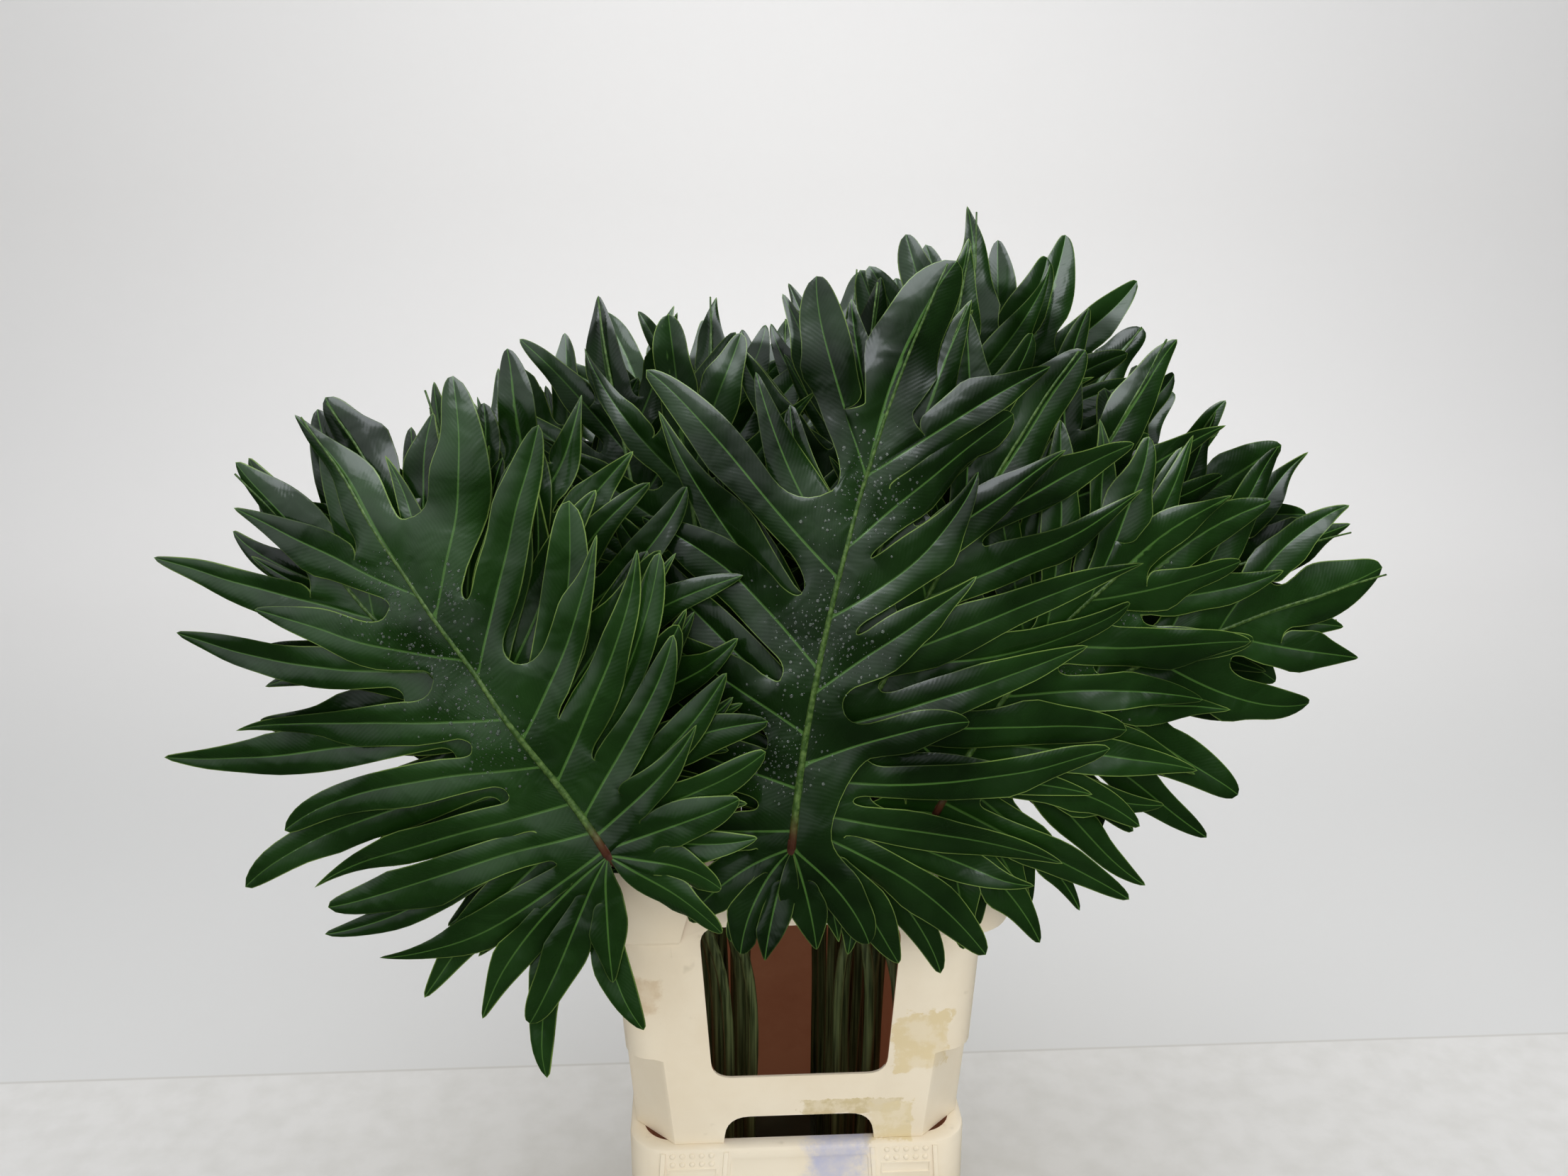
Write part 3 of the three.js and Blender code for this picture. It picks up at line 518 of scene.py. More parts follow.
def strip(lobe, hand, side, inner, web, bisector, neighbour, parts):
    """One half of a lobe. inner and web end the line shared with the neighbour, bisector is its heading."""
    border, near = border_of(lobe, hand, neighbour), lobe.leaf.sheet < NEAR_SHEETS
    found = open_bay(lobe, border, inner) if web is None else round_bay(lobe, border, web, bisector)
    web, web_t, bay_t, bay = found
    edge_t = mix(bay_t, 1, 1 - (1 - EDGE_STEPS) ** 1.35)
    t = np.concatenate([WEB_STEPS * web_t, mix(web_t, bay_t, BAY_STEPS), edge_t])
    rim = np.vstack([inner + (web - inner) * WEB_STEPS[:, None], bay, border(edge_t)])
    rim[-1] = lobe.vein(1.0)
    vein = lobe.vein(t)
    t, v = t[:, None], (FINE_ACROSS if near else PLAIN_ACROSS)[None]
    span = np.linalg.norm(rim - vein, axis=1)[:, None]
    flat = vein[:, None] + (rim - vein)[:, None] * v[..., None]
    n, m = flat.shape[:2]
    corner = sum(len(part) for part in parts["flat"]) + np.arange(n * m).reshape(n, m)
    quads = np.stack([corner[:-1, :-1], corner[1:, :-1], corner[1:, 1:], corner[:-1, 1:]], -1).reshape(-1, 4)
    parts["faces"].append(quads if hand > 0 else quads[:, ::-1])
    values = {"flat": flat,
              "out": (1.0 if near else 1.3) * relief(lobe, hand, side, span, t, v),
              "uv": np.stack([span * v, np.broadcast_to(t * lobe.length, (n, m))], -1),
              "edge": nearest(flat, rim[WEB_ROWS:]),
              "vein": span * v / mix(1.1, 0.4, t)}
    for name, each in values.items():
        parts[name].append(each.reshape(n * m, *each.shape[2:]))


def blade_strips(leaf):
    """All strips of a blade, joined where their points meet."""
    parts = {name: [] for name in ("flat", "out", "uv", "edge", "vein", "faces")}
    end = Lobe(leaf, END_NUMBER, midrib(leaf, END_FROM))
    end.heading, end.bend = leaf.heading + leaf.bend * END_FROM, leaf.bend * END_LENGTH
    end.length, end.width = leaf.length * END_LENGTH, leaf.length * leaf.end_width
    end.sway = (0.03 * end.length * end.draw(SWAY), 0.06 * end.length * end.draw(TIP_SWAY))
    for side in (1, -1):
        inner = end.root
        web = towards(midrib(leaf, 0.59), end.heading + side * 30, 0.14 * leaf.length)
        bisector = end.heading + side * 24
        lobes = leaf.lobes[side]
        strip(end, side, side, inner, web, bisector, lobes[0], parts)
        before = end
        for lobe, following in zip(lobes, lobes[1:] + [None]):
            strip(lobe, -side, side, inner, web, bisector, before, parts)
            if following:
                middle, between = (lobe.at + following.at) / 2, (lobe.angle + following.angle) / 2
                bisector = leaf.heading + leaf.bend * middle + side * between
                web = towards(midrib(leaf, middle), bisector, lobe.web * leaf.length)
                inner = midrib(leaf, 0.0 if middle < 0.03 else middle)
                strip(lobe, side, side, inner, web, bisector, following, parts)
            else:
                strip(lobe, side, side, inner, None, None, None, parts)
            before = lobe
    flat, out, uv, edge, vein, faces = (np.concatenate(part) for part in parts.values())
    _, first, same = np.unique(np.round(flat, 1), axis=0, return_index=True, return_inverse=True)
    same = same.reshape(-1)
    out = np.bincount(same, out) / np.bincount(same)
    flat, uv, edge, vein, faces = flat[first], uv[first], edge[first], vein[first], same[faces]
    rib = nearest(flat, midrib(leaf, np.linspace(0, 1, 80)))
    way_up = share(0, leaf.length, np.linalg.norm(flat - leaf.base, axis=1))
    return flat, out, uv, edge, np.minimum(vein, rib / mix(3.2, 0.8, way_up)), faces


for leaf in leaves:
    leaf.flat, leaf.out, leaf.uv, leaf.edge, leaf.vein, leaf.faces = blade_strips(leaf)
print("points in the blades", sum(len(l.flat) for l in leaves))

# %% [markdown]
# ## Settling the leaves into each other
#
# Real leaves in a tight bunch press into each other and bend round their neighbours. Here the leaves are
# laid down from the front one to the back one. A map with 3 mm cells keeps, seen from the front, how far
# back the leaves reach so far. Where the next leaf would come through, it is pushed back, and the push is
# spread out smoothly so that the leaf bends and doesn't step. The same maps tell later how deep in the
# bunch a point lies.

# %% Maps of the bunch as seen from the front
CELL, MAP_X, MAP_Z, MAP_SHAPE = 3.0, -570.0, 280.0, (384, 290)
CLEARANCE, FAR, REACH = 1.3, 1e4, 3
BELL = np.exp(-0.5 * (np.arange(-5, 6) / 2.2) ** 2)
BELL /= BELL.sum()


def map_row(at):
    cell = np.floor([(at[..., 0] - MAP_X) / CELL, (at[..., 2] - MAP_Z) / CELL]).astype(int)
    return np.clip(cell[0], 0, MAP_SHAPE[0] - 1) * MAP_SHAPE[1] + np.clip(cell[1], 0, MAP_SHAPE[1] - 1)


def depth_map(at, faces, empty, pick):
    """The front or the back of a surface on the map, read off 25 points of every face."""
    u, w = (grid.reshape(-1, 1) for grid in np.meshgrid(np.linspace(0, 1, 5), np.linspace(0, 1, 5)))
    weights = np.hstack([(1 - u) * (1 - w), u * (1 - w), u * w, (1 - u) * w])
    points = np.einsum("kc,ncx->nkx", weights, at[faces]).reshape(-1, 3)
    found = np.full(MAP_SHAPE[0] * MAP_SHAPE[1], empty)
    pick.at(found, map_row(points), points[:, 1])
    return found


def widened(grid, pick):
    """The map with every cell set to the smallest or largest one around it, then smoothed."""
    grid = grid.reshape(MAP_SHAPE)
    for axis in (0, 1):
        grid = pick([np.roll(grid, shift, axis) for shift in range(-REACH, REACH + 1)], axis=0)
    for axis in (0, 1):
        grid = sum(w * np.roll(grid, shift, axis) for shift, w in zip(range(-5, 6), BELL))
    return grid


def pushed_back(at, push):
    """Points moved back by the map, read between its cells."""
    x = np.clip((at[:, 0] - MAP_X) / CELL - 0.5, 0, MAP_SHAPE[0] - 1.001)
    z = np.clip((at[:, 2] - MAP_Z) / CELL - 0.5, 0, MAP_SHAPE[1] - 1.001)
    i, k = x.astype(int), z.astype(int)
    u, w = x - i, z - k
    found = at.copy()
    found[:, 1] += mix(mix(push[i, k], push[i + 1, k], u), mix(push[i, k + 1], push[i + 1, k + 1], u), w)
    return found


print("map in mm", [cells * CELL for cells in MAP_SHAPE])

# %% Push each leaf behind the ones before it
back_most = np.full(MAP_SHAPE[0] * MAP_SHAPE[1], -FAR)
front_most = -back_most
for leaf in leaves:
    plain = on_sheet(leaf, leaf.flat, leaf.out)
    own_front = depth_map(plain, leaf.faces, FAR, np.minimum)
    needed = np.maximum(0, back_most + CLEARANCE - own_front)
    leaf.push = widened(np.where(own_front < FAR, needed, 0), np.max)
    settled = pushed_back(plain, leaf.push)
    back_most = np.maximum(back_most, depth_map(settled, leaf.faces, -FAR, np.maximum))
    front_most = np.minimum(front_most, depth_map(settled, leaf.faces, FAR, np.minimum))
front_most, back_most = widened(front_most, np.min), widened(back_most, np.max)


def depth_inside(at):
    """How far points lie behind the bunch's surface, from the front or the back, whichever is nearer."""
    ahead, behind = pushed_back(at, -front_most)[:, 1], -pushed_back(at, -back_most)[:, 1]
    return np.minimum(ahead, behind)


print("largest push in mm", [round(float(l.push.max()), 1) for l in leaves])

# %% [markdown]
# ## Midribs and stalks
#
# The midrib is a tapered rod that stands proud on both faces of the blade, and the stalk follows its line
# down into the bucket. Both are swept along a line by the same Geometry Nodes tree, which ribs a stalk
# lengthwise as the real one is. A tree with named inputs does the same job many times over, so this file
# has three: this one, one for the dew and one for the moulded dots. They share these helpers, and each
# tree's result is kept as a plain mesh.

# %% Helpers for nodes and meshes
def add(tree, kind, settings=None, **links):
    """A node of that kind. A link is a value, a node, for its first output in use, or (node, output)."""
    node = tree.nodes.new(kind)
    for name, value in (settings or {}).items():
        setattr(node, name, value)
    for name, value in links.items():
        by_number = name[0] == "i" and name[1:].isdigit()
        socket = node.inputs[int(name[1:]) if by_number else name.replace("_", " ")]
        if isinstance(value, bpy.types.Node):
            tree.links.new(next(output for output in value.outputs if output.enabled), socket)
        elif isinstance(value, tuple) and isinstance(value[0], bpy.types.Node):
            tree.links.new(value[0].outputs[value[1]], socket)
        else:
            socket.default_value = value
    return node


def sums(tree, kind, a, b=0.0, c=0.0):
    return add(tree, "ShaderNodeMath", {"operation": kind}, i0=a, i1=b, i2=c)


def link_piece(name, mesh):
    piece = bpy.data.objects.new(name, mesh)
    bpy.context.scene.collection.objects.link(piece)
    return piece


def new_mesh(name, points, faces, edges=()):
    mesh = bpy.data.meshes.new(name)
    mesh.from_pydata(np.asarray(points).tolist(), list(edges), faces)
    return mesh


def joined(parts):
    """Several pairs of points and faces as one pair."""
    start, faces = 0, []
    for points, own_faces in parts:
        faces += [tuple(v + start for v in face) for face in own_faces]
        start += len(points)
    return np.vstack([points for points, _ in parts]), faces


def store(mesh, name, values):
    """Keep a number with every point of a mesh."""
    mesh.attributes.new(name, "FLOAT", "POINT").data.foreach_set("value", values.astype(np.float32))


def plain_mesh(piece):
    """The piece's mesh with its modifiers worked in."""
    return bpy.data.meshes.new_from_object(piece.evaluated_get(bpy.context.evaluated_depsgraph_get()))


def points_and_faces(mesh):
    """A mesh as an array of points and a list of faces. The mesh itself is used up."""
    at = np.empty(len(mesh.vertices) * 3)
    mesh.vertices.foreach_get("co", at)
    faces = [tuple(p.vertices) for p in mesh.polygons]
    bpy.data.meshes.remove(mesh)
    return at.reshape(-1, 3), faces


def new_tree(name, given, made, inputs):
    """A Geometry Nodes tree with named inputs: the tree, its input node and the inputs' identifiers."""
    tree = bpy.data.node_groups.new(name, "GeometryNodeTree")
    tree.interface.new_socket(given, in_out="INPUT", socket_type="NodeSocketGeometry")
    sockets = {}
    for each, kind in inputs.items():
        socket = tree.interface.new_socket(each, in_out="INPUT", socket_type="NodeSocket" + kind)
        sockets[each] = socket.identifier
    tree.interface.new_socket(made, in_out="OUTPUT", socket_type="NodeSocketGeometry")
    return tree, add(tree, "NodeGroupInput"), sockets


def finish_tree(tree, geometry, taken):
    """Make what the tree placed real, smooth it, give it its finish and end the tree."""
    real = add(tree, "GeometryNodeRealizeInstances", Geometry=geometry)
    soft = add(tree, "GeometryNodeSetShadeSmooth", Geometry=real)
    painted = add(tree, "GeometryNodeSetMaterial", Geometry=soft, Material=(taken, "Finish"))
    add(tree, "NodeGroupOutput", i0=painted)
    print("nodes in the tree", tree.name, len(tree.nodes))


def grown(mesh, tree, sockets, values):
    """What a tree makes of a mesh, as a plain mesh. The first mesh is used up."""
    holder = link_piece(mesh.name, mesh)
    modifier = holder.modifiers.new(tree.name, "NODES")
    modifier.node_group = tree
    for name, value in values.items():
        modifier[sockets[name]] = value
    made = plain_mesh(holder)
    bpy.data.objects.remove(holder)
    bpy.data.meshes.remove(mesh)
    return made


# %% Geometry Nodes tree that sweeps a stalk along its line
sweep, taken, sweep_inputs = new_tree("stalk sweep", "Line", "Stalk", {
    "Sides": "Int", "Rib depth": "Float", "Ribs": "Float", "Finish": "Material"})
line = add(sweep, "GeometryNodeMeshToCurve", Mesh=(taken, "Line"))
wide = add(sweep, "GeometryNodeInputNamedAttribute", {"data_type": "FLOAT"}, Name="half_width")
sized = add(sweep, "GeometryNodeSetCurveRadius", Curve=line, Radius=(wide, "Attribute"))
section = add(sweep, "GeometryNodeCurvePrimitiveCircle", Resolution=(taken, "Sides"), Radius=1.0)
# The ribs are waves in the section's radius
place = add(sweep, "GeometryNodeInputPosition")
split = add(sweep, "ShaderNodeSeparateXYZ", Vector=place)
turn = sums(sweep, "ARCTAN2", (split, "Y"), (split, "X"))
spun = sums(sweep, "MULTIPLY", turn, (taken, "Ribs"))
ribs = sums(sweep, "SINE", spun)
depth = sums(sweep, "MULTIPLY_ADD", ribs, (taken, "Rib depth"), 1.0)
pushed = add(sweep, "ShaderNodeVectorMath", {"operation": "SCALE"}, i0=place, Scale=depth)
ribbed = add(sweep, "GeometryNodeSetPosition", Geometry=section, Position=pushed)
tube = add(sweep, "GeometryNodeCurveToMesh", Curve=sized, Profile_Curve=ribbed, Fill_Caps=True)
if "Scale" in tube.inputs:
    sweep.links.new(wide.outputs["Attribute"], tube.inputs["Scale"])
finish_tree(sweep, tube, taken)


def swept(points, half_widths, sides, finish, rib_depth=0.0, ribs=1.0):
    """A tube along points in millimetres: its points and its faces, and how far along each point lies."""
    mesh = new_mesh("line", points * MM, [], [(i, i + 1) for i in range(len(points) - 1)])
    store(mesh, "half_width", half_widths * MM)
    tube = grown(mesh, sweep, sweep_inputs, {
        "Sides": sides, "Rib depth": rib_depth, "Ribs": ribs, "Finish": finish})
    at, rings = points_and_faces(tube)
    walked = np.concatenate([[0], np.cumsum(np.linalg.norm(np.diff(points, axis=0), axis=1))])
    return (at / MM, rings), np.repeat(walked, sides)[: len(at)]


# %% [markdown]
# ## Finish of the leaf
#
# A xanadu blade is a living leaf with a waxy cuticle: dark green, glossy, with a cool sheen where the sky
# shows in it. The veins are yellow-green, and the margin is a thin translucent line: a pale line along it is
# painted light, for the light that shines through it. Faint side veins run slantwise from the lobe's vein to
# its edge. The cuticle is a clear coat over a rougher green, so the blade gets a coat. Between the veins the
# skin is puckered, which breaks the sheen up.
#
# Colours are written as they are read off a screen, in sRGB hex, but shaders count in linear light, so one
# function turns them.

# %% Nodes that the finishes share
def linear(code):
    values = [int(code[i : i + 2], 16) / 255 for i in (1, 3, 5)]
    return (*(v / 12.92 if v <= 0.04045 else ((v + 0.055) / 1.055) ** 2.4 for v in values), 1.0)


def new_material(name):
    material = bpy.data.materials.new(name)
    material.use_nodes = True
    material.node_tree.nodes.clear()
    return material, material.node_tree


def finish_material(tree, **settings):
    """End a material with a principled shader."""
    add(tree, "ShaderNodeOutputMaterial", Surface=add(tree, "ShaderNodeBsdfPrincipled", **settings))
    print("nodes in the finish", len(tree.nodes))


def noise(tree, scale, **settings):
    """A noise that is tied to the piece, so it stays in place whatever is drawn around it."""
    place = add(tree, "ShaderNodeTexCoord")
    return add(tree, "ShaderNodeTexNoise", Vector=(place, "Object"), Scale=scale, **settings)


def blend(tree, factor, first, second):
    """A colour mix. Each of the three is a value or (node, output)."""
    return add(tree, "ShaderNodeMix", {"data_type": "RGBA"}, i0=factor, i6=first, i7=second)


def ramp(tree, source, low, high, start, end):
    """A colour that goes from start to end while the source goes from low to high."""
    node = add(tree, "ShaderNodeValToRGB", Fac=source)
    for element, position, colour in zip(node.color_ramp.elements, (low, high), (start, end)):
        element.position, element.color = position, linear(colour)
    return node


def step(tree, source, low, high, start=0.0, end=1.0):
    """A value that goes smoothly from start to end while the source goes from low to high."""
    return add(tree, "ShaderNodeMapRange", {"interpolation_type": "SMOOTHSTEP"}, Value=source, From_Min=low,
               From_Max=high, To_Min=start, To_Max=end)


# %% Leaf blade, living leaf with a waxy cuticle
blade_green, tree = new_material("waxed leaf blade")
edge_mm, vein_share, tone, inside = (add(tree, "ShaderNodeAttribute", {"attribute_name": name})
                                     for name in ("edge_mm", "vein_share", "tone", "inside"))
blotch = noise(tree, 11.0, Detail=3.0)
toned = sums(tree, "MULTIPLY_ADD", (tone, "Fac"), 0.12, blotch)
greens = ramp(tree, toned, 0.3, 0.72, "#0a1a05", "#1a380e")
near_vein = step(tree, (vein_share, "Fac"), 1.3, 0.5)
veined = blend(tree, near_vein, greens, linear("#3c5e25"))
patchy = step(tree, blotch, 0.4, 0.6, 0.12, 0.75)
# Painted light: a pale line along the free edge, broken into patches, stands in for the light that shines
# through the thin margin
rim_line = step(tree, (edge_mm, "Fac"), 0.95, 0.2)
rim_share = sums(tree, "MULTIPLY", rim_line, patchy)
edged = blend(tree, rim_share, veined, linear("#7b9646"))
# Leaves deep in the bunch hardly get light. Painted shade darkens them towards near-black, and their coat
# and IOR are lowered so that they show less sheen
shade = sums(tree, "MULTIPLY", (inside, "Fac"), 0.6)
shaded = blend(tree, shade, edged, linear("#030702"))
waxed = step(tree, (inside, "Fac"), 0.0, 0.8, 0.42, 0.05)
glossy = step(tree, (inside, "Fac"), 0.0, 0.9, 1.45, 1.18)
# Fine side veins, 4 mm apart and slantwise from the lobe's vein
along = add(tree, "ShaderNodeUVMap", {"uv_map": "along_lobe"})
split = add(tree, "ShaderNodeSeparateXYZ", Vector=(along, "UV"))
slant = sums(tree, "MULTIPLY_ADD", (split, "X"), -1.15, (split, "Y"))
wobbled = sums(tree, "MULTIPLY_ADD", noise(tree, 60.0, Detail=1.0), 5.0, slant)
closer = sums(tree, "MULTIPLY", wobbled, 1.5)
side_veins = sums(tree, "SINE", closer)
sunken = sums(tree, "MULTIPLY_ADD", near_vein, -2.0, side_veins)
height = sums(tree, "MULTIPLY_ADD", noise(tree, 90.0, Detail=3.0), 4.0, sunken)
puckered = noise(tree, 34.0, Detail=1.5, Distortion=0.6)
puckers = add(tree, "ShaderNodeBump", Strength=0.5, Distance=0.0075, Height=puckered)
skin = add(tree, "ShaderNodeBump", Strength=0.09, Distance=0.0003, Height=height, Normal=puckers)
shine = step(tree, blotch, 0.3, 0.7, 0.22, 0.38)
finish_material(tree, Base_Color=shaded, Roughness=shine, IOR=glossy, Coat_Weight=waxed, Coat_Roughness=0.1,
                Normal=skin)

# %% Midrib and stalk, firm green tissue that is red where the two meet
midrib_green, tree = new_material("pale leaf midrib")
pale = ramp(tree, noise(tree, 260.0, Detail=2.0), 0.4, 0.8, "#2c4616", "#5c753b")
walked = add(tree, "ShaderNodeAttribute", {"attribute_name": "along_stalk"})
reddened = blend(tree, step(tree, (walked, "Fac"), -34.0, -2.0), pale, linear("#4a2a1c"))
finish_material(tree, Base_Color=reddened, Roughness=0.4, IOR=1.42)

stalk_green, tree = new_material("ribbed leaf stalk")
place = add(tree, "ShaderNodeTexCoord")
drawn = add(tree, "ShaderNodeMapping", Vector=(place, "Object"), Scale=(1.0, 1.0, 0.03))
streaks = add(tree, "ShaderNodeTexNoise", Vector=drawn, Scale=420.0, Detail=2.0)
olive = ramp(tree, streaks, 0.35, 0.7, "#26331a", "#66744a")
walked = add(tree, "ShaderNodeAttribute", {"attribute_name": "along_stalk"})
reddened = blend(tree, step(tree, (walked, "Fac"), 46.0, 6.0), olive, linear("#44241a"))
finish_material(tree, Base_Color=reddened, Roughness=0.45, IOR=1.42)

# %% [markdown]
# ## Growing every leaf
#
# The blade gets a back face 0.7 mm behind its front one and walls along its free edges. With every point go
# how far it is from the free edge, how far from its vein, how far along the stalk it is, how deep in the
# bunch it lies, and the leaf's own tone. The finishes read them.

# %% Both sides of a blade, its midrib and its stalk
BLADE_THICKNESS = 0.7


def blade_faces(leaf):
    """The faces of both sides of a blade and of the walls along its free edges, and these edges."""
    count, polygons, open_sides = len(leaf.flat), [], set()
    for face in leaf.faces.tolist():
        ring = [v for k, v in enumerate(face) if v != face[k - 1]]
        if len(set(ring)) < 3:
            continue
        polygons.append(ring)
        for pair in zip(ring, ring[1:] + ring[:1]):
            if pair[::-1] in open_sides:
                open_sides.remove(pair[::-1])
            else:
                open_sides.add(pair)
    walls = [(b, a, a + count, b + count) for a, b in open_sides]
    return polygons + [[v + count for v in ring[::-1]] for ring in polygons] + walls, open_sides


def rods(leaf):
    """The midrib and the stalk, both moved back with the blade. The stalk's own move fades out below it."""
    s = np.linspace(0.0, 0.985, 30)
    rib_line = pushed_back(on_sheet(leaf, midrib(leaf, s), np.full(30, 0.2)), leaf.push)
    rib = swept(rib_line, mix(3.3, 0.8, s**0.8), 8, midrib_green)
    line = leaf.stalk.copy()
    moved = pushed_back(line, leaf.push)[:, 1] - line[:, 1]
    line[:, 1] += moved * np.clip(1.5 - np.arange(len(line)) / 12, 0, 1)
    width = mix(3.7, 4.7, np.minimum(1, np.arange(len(line)) / 24))
    width[0] = 2.6
    return rib, swept(line, width, 18, stalk_green, 0.05, 6.0)


# %% Join them to one mesh
ON_BLADE, OFF_EDGE = -60.0, 9.0


def leaf_mesh(leaf):
    out = leaf.out - 0.35 * smooth(2.5, 0, leaf.edge)
    sides = [on_sheet(leaf, leaf.flat, out + d * BLADE_THICKNESS / 2) for d in (1, -1)]
    polygons, open_sides = blade_faces(leaf)
    (rib, along_rib), (stalk, along_stalk) = rods(leaf)
    parts = [(pushed_back(np.vstack(sides), leaf.push), polygons), rib, stalk]
    points, faces = joined(parts)
    count, rest = len(leaf.flat), len(points) - 2 * len(leaf.flat)

    mesh = new_mesh(leaf.name, points * MM, faces)
    slots = np.repeat([0, 1, 2], [len(own_faces) for _, own_faces in parts])
    mesh.polygons.foreach_set("material_index", slots.astype(np.int32))
    mesh.shade_smooth()
    store(mesh, "edge_mm", np.append(np.tile(leaf.edge, 2), np.full(rest, OFF_EDGE)))
    store(mesh, "vein_share", np.append(np.tile(leaf.vein, 2), np.zeros(rest)))
    store(mesh, "along_stalk", np.concatenate([np.full(2 * count, ON_BLADE), -along_rib, along_stalk]))
    store(mesh, "inside", smooth(10, 75, depth_inside(points)))
    store(mesh, "tone", np.full(len(points), draw(leaf.number, 40, TONE)))
    corner = np.empty(len(mesh.loops), np.int32)
    mesh.loops.foreach_get("vertex_index", corner)
    uv = np.vstack([leaf.uv, leaf.uv, np.zeros((rest, 2))])[corner]
    mesh.uv_layers.new(name="along_lobe").data.foreach_set("uv", uv.astype(np.float32).reshape(-1))

    # The rims stay sharp. Two ends of an edge become one number, so that the lists can be compared.
    ends = np.empty(2 * len(mesh.edges), np.int32)
    mesh.edges.foreach_get("vertices", ends)
    rims = np.array(list(open_sides))
    one_number = [1, 1 << 20]
    sharp = np.isin(np.sort(ends.reshape(-1, 2), 1) @ one_number,
                    np.sort(np.vstack([rims, rims + count]), 1) @ one_number)
    mesh.attributes.new("sharp_edge", "BOOLEAN", "EDGE").data.foreach_set("value", sharp)
    return mesh


# %% Grow them
for leaf in leaves:
    piece = link_piece("fine_" + leaf.name, leaf_mesh(leaf))
    for material in (blade_green, midrib_green, stalk_green):
        piece.data.materials.append(material)
    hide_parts(leaf.name)
    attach(piece, "root")
    leaf.triangles = sum(len(p.vertices) - 2 for p in piece.data.polygons)
print("triangles in the leaves", sum(leaf.triangles for leaf in leaves))

# %% [markdown]
# ## Dew
#
# Fine drops sit in patches along the midribs of three front leaves, where the bunch was sprayed. Geometry
# Nodes scatter them over the blade's front by a density that is kept with its points, and flatten each one
# a little.

# %% Geometry Nodes tree that scatters drops
dew_tree, taken, dew_inputs = new_tree("dew", "Blade", "Drops", {
    "Density": "Float", "Smallest": "Float", "Largest": "Float", "Seed": "Int", "Finish": "Material"})
wet = add(dew_tree, "GeometryNodeInputNamedAttribute", {"data_type": "FLOAT"}, Name="wet")
dense = sums(dew_tree, "MULTIPLY", (wet, "Attribute"), (taken, "Density"))
spots = add(dew_tree, "GeometryNodeDistributePointsOnFaces", Mesh=(taken, "Blade"), Density=dense,
            Seed=(taken, "Seed"))
# Most drops are small: the random number is cubed
chance = add(dew_tree, "FunctionNodeRandomValue", {"data_type": "FLOAT"}, i2=0.0, i3=1.0,
             Seed=(taken, "Seed"))
rare = sums(dew_tree, "POWER", chance, 3.0)
wider = sums(dew_tree, "SUBTRACT", (taken, "Largest"), (taken, "Smallest"))
radius = sums(dew_tree, "MULTIPLY_ADD", rare, wider, (taken, "Smallest"))
low_dome = sums(dew_tree, "MULTIPLY", radius, 0.6)
size = add(dew_tree, "ShaderNodeCombineXYZ", X=radius, Y=radius, Z=low_dome)
bead = add(dew_tree, "GeometryNodeMeshIcoSphere", Radius=1.0, Subdivisions=2)
beads = add(dew_tree, "GeometryNodeInstanceOnPoints", Points=(spots, "Points"), Instance=(bead, "Mesh"),
            Rotation=(spots, "Rotation"), Scale=size)
finish_tree(dew_tree, beads, taken)

# %% Drop, clear water
clear_drop, tree = new_material("clear water drop")
tint = ramp(tree, noise(tree, 40.0), 0.3, 0.7, "#c9d6cb", "#e9f1ea")
finish_material(tree, Base_Color=tint, Roughness=0.03, IOR=1.33, Transmission_Weight=0.95)

# %% Scatter the drops
# Leaf, then flat spots where it is wet: along the midrib, sideways, radius in mm
WET = {"leaf_left_1": [(0.45, -25, 60), (0.62, -30, 50), (0.3, -20, 45), (0.55, 25, 30)],
       "leaf_centre_1": [(0.35, 0, 70), (0.6, 0, 60), (0.15, -20, 50)],
       "leaf_right_2": [(0.4, 20, 70), (0.6, -10, 60)]}
fronts, wetness = [], []
for leaf in leaves:
    if leaf.name in WET:
        wet = np.zeros(len(leaf.flat))
        for s, aside, reach in WET[leaf.name]:
            centre = towards(midrib(leaf, s), leaf.heading + leaf.bend * s + 90, float(aside))
            wet += smooth(reach, 0, np.linalg.norm(leaf.flat - centre, axis=1))
        wetness.append(np.minimum(wet, 1) * smooth(0.5, 4, leaf.edge))
        front = pushed_back(on_sheet(leaf, leaf.flat, leaf.out + BLADE_THICKNESS / 2), leaf.push)
        faces = [tuple(dict.fromkeys(face)) for face in leaf.faces.tolist()]
        fronts.append((front, [face for face in faces if len(face) > 2]))
points, faces = joined(fronts)
wet_blades = new_mesh("wet blades", points * MM, faces)
store(wet_blades, "wet", np.concatenate(wetness))
dew = link_piece("dew_drops", grown(wet_blades, dew_tree, dew_inputs, {
    "Density": 80000.0, "Smallest": 0.0004, "Largest": 0.0015, "Seed": 4, "Finish": clear_drop}))
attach(dew, "root")
print("triangles in the dew", len(dew.data.polygons))

# %% [markdown]
# ## Bucket and collar
#
# Both are injection-moulded in cream plastic. The wall is lofted through rings, as in the solid, with
# rounder corners, and the openings are cut out of it. At its lower corners the collar has flat facets that
# end in a small step. The bucket's skirt carries moulded detail: a recessed panel, on either side of it two
# slanted ribs, and between them a small raised frame. The mould rounds every edge, so all edges get a small
# bevel.

# %% Sections of the walls, and rings round them
# Width, depth, corner, whether the corner is a flat facet
BUCKET_HEIGHT, SKIRT_FOOT, CORNER_STEPS = 300, 238, 10
FOOT, MOUTH, LEDGE = (252, 356, 26, 0), (278, 382, 30, 0), (298, 402, 34, 0)
LIP, LIP_TOP = (296.5, 400.5, 33, 0), (290, 394, 31, 0)
COLLAR_FOOT, COLLAR_WAIST, COLLAR_STEP = (287, 389, 35, 1), (298.6, 401.6, 33, 1), (299, 402, 25, 0)
SHOULDER, BAND = (314, 416, 34, 0), (356, 430, 42, 0)


